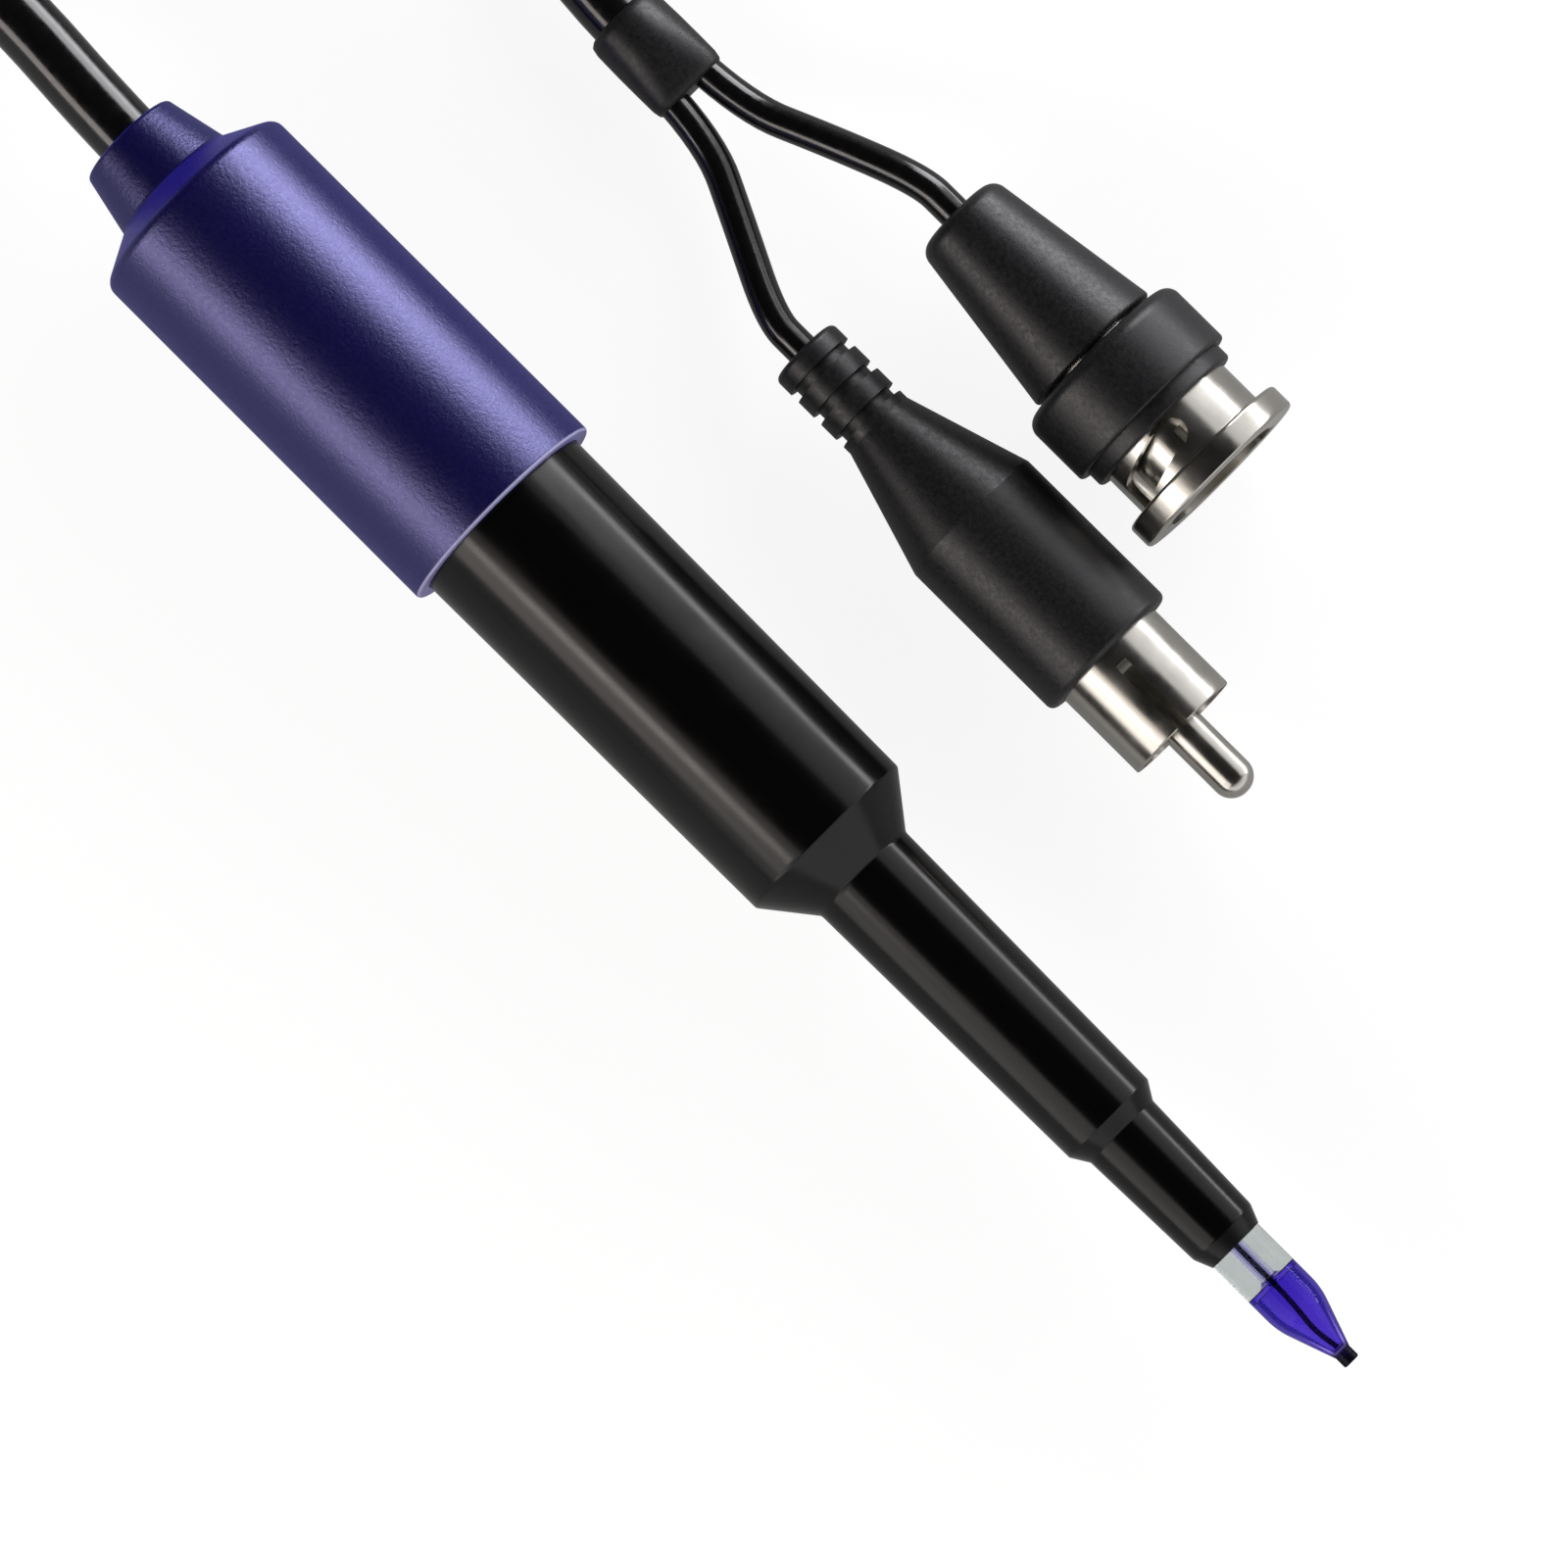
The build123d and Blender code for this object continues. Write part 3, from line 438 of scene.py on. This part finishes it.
def cord_piece(name, points, diameter, material):
    """A smooth cord: a NURBS line of order 3 on the route's points, in millimetres, with a round bevel."""
    curve = bpy.data.curves.new(name, "CURVE")
    curve.dimensions = "3D"
    curve.bevel_depth = diameter / 2 * MM
    curve.bevel_resolution = 7
    curve.resolution_u = 8
    curve.use_fill_caps = True
    spline = curve.splines.new("NURBS")
    spline.points.add(len(points) - 1)
    route = np.ones((len(points), 4))
    route[:, :3] = np.array(points) * MM
    spline.points.foreach_set("co", route.ravel())
    spline.order_u = 3
    spline.use_endpoint_u = True
    curve.materials.append(material)
    piece = bpy.data.objects.new(name, curve)
    bpy.context.scene.collection.objects.link(piece)
    return piece


def coil_points():
    """The coil's turns: the angle falls evenly from -90 degrees. The radius shrinks by a pitch each turn
    in the upper layer and grows by one in the lower; a smooth step between the layers joins them, and
    a low swell lifts the turns over the strap. Each radius is widened by what the spline cuts inside."""
    turn = np.arange(0, coil_turns + 1e-6, 1 / points_per_turn)
    angle = -math.pi / 2 - 2 * math.pi * turn
    bend = np.sqrt((turn - drop_turn) ** 2 + (drop_width / 3) ** 2)
    radius = coil_entry_radius - coil_pitch * (drop_turn - bend)
    radius /= math.cos(math.pi / points_per_turn)
    step = np.clip((turn - drop_turn) / drop_width + 0.5, 0, 1)
    height = coil_high + (coil_low - coil_high) * step * step * (3 - 2 * step)
    from_tie = np.mod(turn + 0.25, 1) - 0.5
    height += tie_lift * np.exp(-((from_tie / tie_swell) ** 2))
    across = coil_centre.x + radius * np.cos(angle)
    back = coil_centre.y + radius * np.sin(angle)
    return np.stack([across, back, height], axis=-1).tolist()


cable_route = [*lead_route, *coil_points(), *tail_route]
cable = cord_piece("cable", cable_route, cable_diameter, pvc_jacket)
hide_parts("cable_lead", "cable_coil", "cable_tail")
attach(cable, "electrode")

# The cable tie: a strap of nylon pulled tight round the six turns and locked in its own square head,
# with the spare end cut off a few millimetres past the head.
tie_middle = np.array([coil_centre.x - 26.0, coil_centre.y, 6.05])
strap_opening = np.array([15.3, 10.3])
strap_thickness, strap_width, strap_bend = 0.9, 3.2, 2.4
head_side, head_height, slot_height = 4.6, 2.76, 1.2
spare_end = 4.0

# Moulded black nylon: slightly mottled satin, with a fine matt grain (0.2 mm).
black_nylon, tree, skin, place = start_material("moulded_black_nylon")
mottle = add_node(tree, "ShaderNodeTexNoise", {"Vector": place, "Scale": 1 / (0.2 * MM), "Detail": 3})
shade = add_node(tree, "ShaderNodeValToRGB", {"Fac": mottle.outputs["Fac"]})
shade.color_ramp.elements[0].color = linear_colour("#141414")
shade.color_ramp.elements[1].color = linear_colour("#222223")
grain = add_node(tree, "ShaderNodeBump", {
    "Height": mottle.outputs["Fac"], "Strength": 1.0, "Distance": 0.006 * MM})
tree.links.new(shade.outputs["Color"], skin.inputs["Base Color"])
tree.links.new(grain.outputs["Normal"], skin.inputs["Normal"])
skin.inputs["Roughness"].default_value = 0.42
skin.inputs["IOR"].default_value = 1.53


def rounded_rectangle(width, height, rounding):
    """A closed loop of points round a rectangle about the origin, its corners rounded."""
    right, top = width / 2, height / 2
    corners = [(right, -top), (right, top), (-right, top), (-right, -top)]
    return outline([(*corner, rounding) for corner in corners], True)


def stacked_loops(loops):
    """Loops of equal count made one closed block: walls between neighbours, and a flat face at each end."""
    count = len(loops[0])
    faces = grid_faces(len(loops), count, False)
    faces.append(np.arange(count)[::-1].tolist())
    faces.append((np.arange(count) + count * (len(loops) - 1)).tolist())
    return np.concatenate(loops), faces


# The strap: its chamfered section (share of the thickness, place across the width) carried round the loop.
inner_loop = rounded_rectangle(*strap_opening, strap_bend)
outer_loop = rounded_rectangle(*(strap_opening + 2 * strap_thickness), strap_bend + strap_thickness)
section = np.array([
    (0, 0.42), (0, -0.42), (0.2, -0.5), (0.8, -0.5), (1, -0.42), (1, 0.42), (0.8, 0.5), (0.2, 0.5)])
loop = inner_loop[:, None] + (outer_loop - inner_loop)[:, None] * section[None, :, :1]
strap = np.empty((len(loop), len(section), 3))
strap[..., 0] = loop[..., 0]
strap[..., 1] = section[:, 1] * strap_width
strap[..., 2] = loop[..., 1]

# Head and spare end: rounded rectangles stacked upwards, and sidewards out of the head.
strap_top = strap_opening[1] / 2 + strap_thickness
head = []
for level, inset in ((0, 0.1), (0.3, 0), (head_height - 0.35, 0.05), (head_height, 0.4)):
    ring = rounded_rectangle(head_side - 2 * inset, head_side - 2 * inset, 0.5)
    head.append(np.column_stack([ring, np.full(len(ring), strap_top + level)]))
spare = []
for reach in (head_side / 2 - 0.2, head_side / 2 + spare_end):
    ring = rounded_rectangle(strap_width, strap_thickness, 0.15) + (0, strap_top + slot_height)
    spare.append(np.column_stack([np.full(len(ring), reach), ring]))
tie_points = np.empty((0, 3))
tie_faces = []
for points, faces in (
    (strap.reshape(-1, 3), grid_faces(len(loop), len(section), True)),
    stacked_loops(head),
    stacked_loops(spare),
):
    tie_faces += [[corner + len(tie_points) for corner in face] for face in faces]
    tie_points = np.concatenate([tie_points, points])
tie = mesh_piece("cable_tie_strap", (tie_points + tie_middle) * MM, tie_faces, black_nylon)
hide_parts("cable_tie")
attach(tie, "electrode")

# The split: a small moulded sleeve where the cable's two cores part into branches of 2.5 mm, the
# shielded pH lead to the bayonet plug and the sensor pair to the phono plug.
split_low, split_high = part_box("split_sleeve")
sleeve_middle = (split_low + split_high) / 2
split_middle = np.array([0.0, sleeve_middle.y, sleeve_middle.z]) / MM
split_rear, split_front = split_low.x / MM, split_high.x / MM


def sleeve_rings():
    """Superellipse sections along X: (x, half width, half height, squareness). Round on the cable, flatter
    and squarer towards the two branches, with rounded rims at both ends."""
    stations = np.array([
        (split_rear + 0.5, 2.52, 2.52, 2.0), (split_rear + 0.05, 2.56, 2.56, 2.0),
        (split_rear, 2.75, 2.75, 2.0), (split_rear + 0.2, 3.02, 3.02, 2.0),
        (split_rear + 0.8, 3.15, 3.15, 2.0), (split_rear + 3.0, 3.2, 3.2, 2.1),
        (split_rear + 5.0, 3.2, 2.75, 2.4), (split_front - 0.9, 3.18, 2.1, 2.8),
        (split_front - 0.35, 3.08, 1.9, 2.8), (split_front - 0.08, 2.85, 1.65, 2.8),
        (split_front, 2.5, 1.35, 2.6)])
    angle = np.linspace(0, 2 * math.pi, 96, endpoint=False)
    power = 2 / stations[:, 3:]
    side = np.sign(np.cos(angle)) * np.abs(np.cos(angle)) ** power * stations[:, 1:2]
    rise = np.sign(np.sin(angle)) * np.abs(np.sin(angle)) ** power * stations[:, 2:3]
    return np.stack([np.broadcast_to(stations[:, :1], side.shape), side, rise], axis=-1)


# Soft moulded PVC of the plugs and the split: matt from the mould's grain (0.35 mm), a touch greyer than
# the cable, and faintly mottled where the soft compound flowed together.
moulded_pvc, tree, skin, place = start_material("moulded_soft_pvc")
grit = add_node(tree, "ShaderNodeTexNoise", {
    "Vector": place, "Scale": 1 / (0.35 * MM), "Detail": 3, "Roughness": 0.6})
shade = add_node(tree, "ShaderNodeValToRGB", {"Fac": grit.outputs["Fac"]})
shade.color_ramp.elements[0].color = linear_colour("#131315")
shade.color_ramp.elements[1].color = linear_colour("#1f1f22")
gloss = add_node(tree, "ShaderNodeMapRange", {
    "Value": grit.outputs["Fac"], "From Min": 0.3, "From Max": 0.7, "To Min": 0.34, "To Max": 0.5})
grain = add_node(tree, "ShaderNodeBump", {
    "Height": grit.outputs["Fac"], "Strength": 1.0, "Distance": 0.012 * MM})
tree.links.new(shade.outputs["Color"], skin.inputs["Base Color"])
tree.links.new(gloss.outputs["Result"], skin.inputs["Roughness"])
tree.links.new(grain.outputs["Normal"], skin.inputs["Normal"])
skin.inputs["IOR"].default_value = 1.53

sleeve_points, sleeve_faces = stacked_loops(sleeve_rings())
split = mesh_piece("branch_sleeve", (sleeve_points + split_middle) * MM, sleeve_faces, moulded_pvc)
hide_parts("split_sleeve")
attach(split, "electrode")

# The bayonet plug for the pH signal: a boot pushed over the crimp, the turned body with its contact
# fingers, and the coupling ring with its moulded grip, which a spring washer draws back when locked.

# Bright nickel plate: mirror-like but for the lathe's turning marks (rings 0.08 mm apart) under it.
nickel, tree, skin, place = start_material("bright_nickel_plate")
stretch = add_node(tree, "ShaderNodeMapping", {
    "Vector": place, "Scale": (1 / (0.08 * MM), 1 / (20 * MM), 1 / (20 * MM))})
marks = add_node(tree, "ShaderNodeTexNoise", {
    "Vector": stretch.outputs["Vector"], "Scale": 1.0, "Detail": 2})
smears = add_node(tree, "ShaderNodeTexNoise", {"Vector": place, "Scale": 1 / (2.5 * MM), "Detail": 3})
gloss = add_node(tree, "ShaderNodeMapRange", {
    "Value": smears.outputs["Fac"], "From Min": 0.3, "From Max": 0.7, "To Min": 0.16, "To Max": 0.27})
shade = add_node(tree, "ShaderNodeValToRGB", {"Fac": smears.outputs["Fac"]})
shade.color_ramp.elements[0].color = linear_colour("#c2beb6")
shade.color_ramp.elements[1].color = linear_colour("#d6d3cc")
turning = add_node(tree, "ShaderNodeBump", {
    "Height": marks.outputs["Fac"], "Strength": 1.0, "Distance": 0.0012 * MM})
tree.links.new(shade.outputs["Color"], skin.inputs["Base Color"])
tree.links.new(gloss.outputs["Result"], skin.inputs["Roughness"])
tree.links.new(turning.outputs["Normal"], skin.inputs["Normal"])
skin.inputs["Metallic"].default_value = 1.0

# Bright spring steel: cold-rolled strip, bright, with faint specks from the rolls (0.2 mm).
spring_steel, tree, skin, place = start_material("bright_spring_steel")
specks = add_node(tree, "ShaderNodeTexNoise", {"Vector": place, "Scale": 1 / (0.2 * MM), "Detail": 3})
shade = add_node(tree, "ShaderNodeValToRGB", {"Fac": specks.outputs["Fac"]})
shade.color_ramp.elements[0].color = linear_colour("#8d8e90")
shade.color_ramp.elements[1].color = linear_colour("#a9aaac")
tree.links.new(shade.outputs["Color"], skin.inputs["Base Color"])
skin.inputs["Roughness"].default_value = 0.25
skin.inputs["Metallic"].default_value = 1.0

# The spring washer is a ring of that strip bowed across, between the snap ring and the body's thrust
# flange. Drawing the coupling ring forward presses it flatter.
washer_low, washer_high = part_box("spring_washer")
washer_front = washer_high.x / MM
washer_inner, washer_outer, washer_thickness = 3.85, 4.85, 0.3


def bowed_ring():
    """The ring's section (station, radius) goes once round the X axis, and each point then drops back by
    the sag of a circle that bends the ring across: bend - sqrt(bend squared - height squared)."""
    rear = washer_front - washer_thickness
    section = outline([(rear, washer_inner), (rear, washer_outer), (washer_front, washer_outer),
                       (washer_front, washer_inner)], True)
    angle = np.linspace(0, 2 * math.pi, 96, endpoint=False)
    height = section[:, 1:] * np.sin(angle)
    bow = rear - washer_low.x / MM
    bend = (washer_outer ** 2 + bow ** 2) / (2 * bow)
    grid = np.empty((*height.shape, 3))
    grid[..., 0] = section[:, :1] - bend + np.sqrt(bend ** 2 - height ** 2)
    grid[..., 1] = section[:, 1:] * np.cos(angle)
    grid[..., 2] = height
    return grid


washer_grid = bowed_ring()
washer_middle = (washer_low + washer_high) / 2
bayonet_axis = np.array([0.0, washer_middle.y, washer_middle.z]) / MM
washer = mesh_piece("bowed_spring_washer", (washer_grid.reshape(-1, 3) + bayonet_axis) * MM,
                    grid_faces(*washer_grid.shape[:2], True), spring_steel)
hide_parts("spring_washer")
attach(washer, "electrode")
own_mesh(washer)

# Gold flash on the bayonet plug's pin: bright, with faint smears 0.5 mm across.
gold, tree, skin, place = start_material("gold_flashed_brass")
smears = add_node(tree, "ShaderNodeTexNoise", {"Vector": place, "Scale": 1 / (0.5 * MM), "Detail": 2})
gloss = add_node(tree, "ShaderNodeMapRange", {
    "Value": smears.outputs["Fac"], "To Min": 0.14, "To Max": 0.3})
tree.links.new(gloss.outputs["Result"], skin.inputs["Roughness"])
skin.inputs["Base Color"].default_value = linear_colour("#d8b35a")
skin.inputs["Metallic"].default_value = 1.0

# White PTFE round both pins: turned and waxy, faintly clouded by the tool (0.3 mm).
ptfe, tree, skin, place = start_material("turned_white_ptfe")
tool_marks = add_node(tree, "ShaderNodeTexNoise", {"Vector": place, "Scale": 1 / (0.3 * MM), "Detail": 2})
shade = add_node(tree, "ShaderNodeValToRGB", {"Fac": tool_marks.outputs["Fac"]})
shade.color_ramp.elements[0].color = linear_colour("#deddd6")
shade.color_ramp.elements[1].color = linear_colour("#eeede8")
tree.links.new(shade.outputs["Color"], skin.inputs["Base Color"])
skin.inputs["Roughness"].default_value = 0.45
skin.inputs["IOR"].default_value = 1.35

# The phono plug for the temperature sensor is a moulding over a slotted nickel shell, with the same
# white disc and a nickel pin. Each CAD solid of both plugs takes its finish here.
plug_finishes = [
    (moulded_pvc, ("bayonet_boot", "bayonet_grip", "phono_moulding")),
    (nickel, ("bayonet_body", "bayonet_ring", "phono_shell", "phono_pin")),
    (gold, ("bayonet_pin",)),
    (spring_steel, ("bayonet_clip",)),
    (ptfe, ("bayonet_insulator", "phono_insulator")),
]
for material, nodes in plug_finishes:
    for node in nodes:
        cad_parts[node].data.materials.clear()
        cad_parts[node].data.materials.append(material)

# The two branches: thin round leads from the split, each moulded into its plug.
branch_diameter = 2.5
bayonet_route = [(-40.95, 33.1, 3.2), (-33.5, 33.1, 3.2), (-26.5, 35.9, 5.3), (-19.5, 38.4, 7.25),
                 (-16.5, 38.4, 7.25), (-7.0, 38.4, 7.25)]
phono_route = [(-40.95, 30.1, 3.2), (-33.5, 30.1, 3.2), (-26.8, 26.9, 4.3), (-20.3, 23.7, 5.8),
               (-17.3, 23.7, 5.8), (9.18, 23.7, 5.8)]
for name, route, length, leaves, plug in (
    ("bayonet_branch_cord", bayonet_route, 0.035, (-36.5, 33.1, 3.2),
     [washer, *(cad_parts[node] for node in (
         "bayonet_boot", "bayonet_body", "bayonet_ring", "bayonet_grip", "bayonet_clip", "bayonet_gasket",
         "bayonet_insulator", "bayonet_pin"))]),
    ("phono_branch_cord", phono_route, 0.051, (-36.5, 30.1, 3.2),
     [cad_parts[node] for node in ("phono_moulding", "phono_shell", "phono_insulator", "phono_pin")]),
):
    branch = cord_piece(name, route, branch_diameter, pvc_jacket)
    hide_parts(name.removesuffix("_cord"))
    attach(branch, "electrode")

# Floor, light and camera: a pale floor, which shows white to the camera and faintly in the pieces' gloss, a
# surround that is grey at the horizon but dark overhead and behind the cap, and soft boxes on both sides,
# the left high and a little warm, the right low. They are strongest beside cap and body.
floor_half, floor_gap = 1.5, 0.02 * MM
floor_glow, mirrored_share = 0.9, 0.2
floor_material = bpy.data.materials.new("pale_floor")
floor_material.use_nodes = True
tree = floor_material.node_tree
tree.nodes.clear()
ray = add_node(tree, "ShaderNodeLightPath")
mirrored = add_node(tree, "ShaderNodeMath", {
    0: ray.outputs["Is Glossy Ray"], 1: mirrored_share}, operation="MULTIPLY")
seen = add_node(tree, "ShaderNodeMath", {
    0: ray.outputs["Is Camera Ray"], 1: ray.outputs["Is Transmission Ray"]}, operation="MAXIMUM")
seen = add_node(tree, "ShaderNodeMath", {0: seen.outputs[0], 1: mirrored.outputs[0]}, operation="MAXIMUM")
glow = add_node(tree, "ShaderNodeMath", {0: seen.outputs[0], 1: floor_glow}, operation="MULTIPLY")
paint = add_node(tree, "ShaderNodeMix", {
    "Factor": seen.outputs[0], "A": linear_colour("#a8a8a8"), "B": linear_colour("#7c7c7c")},
    data_type="RGBA")
pale = add_node(tree, "ShaderNodeBsdfDiffuse", {"Color": paint.outputs["Result"]})
white = add_node(tree, "ShaderNodeEmission", {"Color": (1, 1, 1, 1), "Strength": glow.outputs[0]})
both = add_node(tree, "ShaderNodeAddShader", {0: pale.outputs[0], 1: white.outputs[0]})
add_node(tree, "ShaderNodeOutputMaterial", {"Surface": both.outputs[0]})
corner = np.array([[-1, -1], [1, -1], [1, 1], [-1, 1]]) * floor_half
floor_corners = np.column_stack([corner, np.full(4, -floor_gap)])
floor = mesh_piece("floor", floor_corners, [[0, 1, 2, 3]], floor_material)

world = bpy.data.worlds.new("studio_surround")
bpy.context.scene.world = world
world.use_nodes = True
tree = world.node_tree
tree.nodes.clear()
direction = add_node(tree, "ShaderNodeTexCoord").outputs["Generated"]
sides = add_node(tree, "ShaderNodeSeparateXYZ", {"Vector": direction})
grade = add_node(tree, "ShaderNodeValToRGB", {"Fac": sides.outputs["Z"]})
grade.color_ramp.elements[0].color = (0.4, 0.4, 0.4, 1)
grade.color_ramp.elements[1].color = (0.015, 0.015, 0.015, 1)
grade.color_ramp.elements[0].position = 0.3
grade.color_ramp.elements[1].position = 0.6
behind = add_node(tree, "ShaderNodeMapRange", {
    "Value": sides.outputs["X"], "From Min": -0.8, "From Max": -0.4, "To Min": 0.1})
shaded = add_node(tree, "ShaderNodeMix", {
    "Factor": 1.0, "A": grade.outputs["Color"], "B": behind.outputs["Result"]},
    data_type="RGBA", blend_type="MULTIPLY")
ray = add_node(tree, "ShaderNodeLightPath")
seen = add_node(tree, "ShaderNodeMath", {
    0: ray.outputs["Is Camera Ray"], 1: ray.outputs["Is Transmission Ray"]}, operation="MAXIMUM")
view = add_node(tree, "ShaderNodeMix", {
    "Factor": seen.outputs[0], "A": shaded.outputs["Result"], "B": (1, 1, 1, 1)}, data_type="RGBA")
surround = add_node(tree, "ShaderNodeBackground", {"Color": view.outputs["Result"], "Strength": 1.0})
add_node(tree, "ShaderNodeOutputWorld", {"Surface": surround.outputs[0]})

aim = Vector((0.0, 0.0, 8.6)) * MM
lamp_distance = 0.32

# Each lamp: azimuth and elevation in degrees; middle, length and height in metres; radiance; colour. The
# wide faint one ahead of the tip fills the taper and the nose.
for name, azimuth, elevation, middle, long, tall, radiance, colour in (
    ("left_cap_box", -90, 29, -0.136, 0.148, 0.1244, 3.7, "#fff6f0"),
    ("left_body_fill", -90, 27, -0.0345, 0.055, 0.1014, 2.3, "#fff6f0"),
    ("left_body_box", -90, 40, -0.0345, 0.055, 0.0448, 8.0, "#fff6f0"),
    ("left_body_top", -90, 50, -0.0345, 0.055, 0.0673, 1.2, "#fff6f0"),
    ("left_stem_fill", -90, 17, 0.1015, 0.217, 0.1244, 1.4, "#fff8f4"),
    ("left_stem_box", -90, 42, 0.1015, 0.217, 0.1596, 1.3, "#fff8f4"),
    ("right_box", 90, 4.25, 0.0, 0.42, 0.042, 6.8, "#fcfcff"),
    ("right_cap_box", 90, 12, -0.136, 0.148, 0.0448, 8.4, "#fcfcff"),
    ("right_cap_fill", 90, 26, -0.136, 0.148, 0.1128, 6.2, "#fcfcff"),
    ("right_stem_fill", 90, 17, 0.074, 0.272, 0.1014, 0.8, "#fcfcff"),
    ("right_stem_top", 90, 37, 0.074, 0.272, 0.1244, 0.85, "#fcfcff"),
    ("front_fill", 0, 20, 0.0, 0.9, 0.2, 0.56, "#ffffff"),
):
    lamp = bpy.data.lights.new(name, "AREA")
    lamp.shape = "RECTANGLE"
    lamp.size = long
    lamp.size_y = tall
    lamp.energy = radiance * math.pi * lamp.size * lamp.size_y
    lamp.color = linear_colour(colour)[:3]
    box = bpy.data.objects.new(name, lamp)
    bpy.context.scene.collection.objects.link(box)
    rise = math.radians(elevation)
    turn = math.radians(azimuth)
    away = Vector((math.cos(turn) * math.cos(rise), math.sin(turn) * math.cos(rise), math.sin(rise)))
    sideways = Vector((abs(math.sin(turn)), math.cos(turn), 0))
    upward = away.cross(sideways)
    centre = aim + away * lamp_distance + sideways * middle
    box.matrix_world = Matrix.Translation(centre) @ Matrix((sideways, upward, away)).transposed().to_4x4()

camera_data = bpy.data.cameras.new("camera")
camera_data.sensor_width = 36
camera_data.lens = 200
camera = bpy.data.objects.new("camera", camera_data)
bpy.context.scene.collection.objects.link(camera)
picture_centre = Vector((4.36, 0.53, 8.6)) * MM
camera_distance = 0.626
tilt = math.radians(4)
toward_camera = Vector((math.sin(tilt), 0, math.cos(tilt)))
roll = math.radians(44.88)
right = Vector((math.cos(roll), math.sin(roll), 0))
right = (right - right.dot(toward_camera) * toward_camera).normalized()
up = toward_camera.cross(right)
camera.matrix_world = (
    Matrix.Translation(picture_centre + toward_camera * camera_distance)
    @ Matrix((right, up, toward_camera)).transposed().to_4x4())
bpy.context.scene.camera = camera
bpy.context.scene.view_settings.view_transform = "Standard"
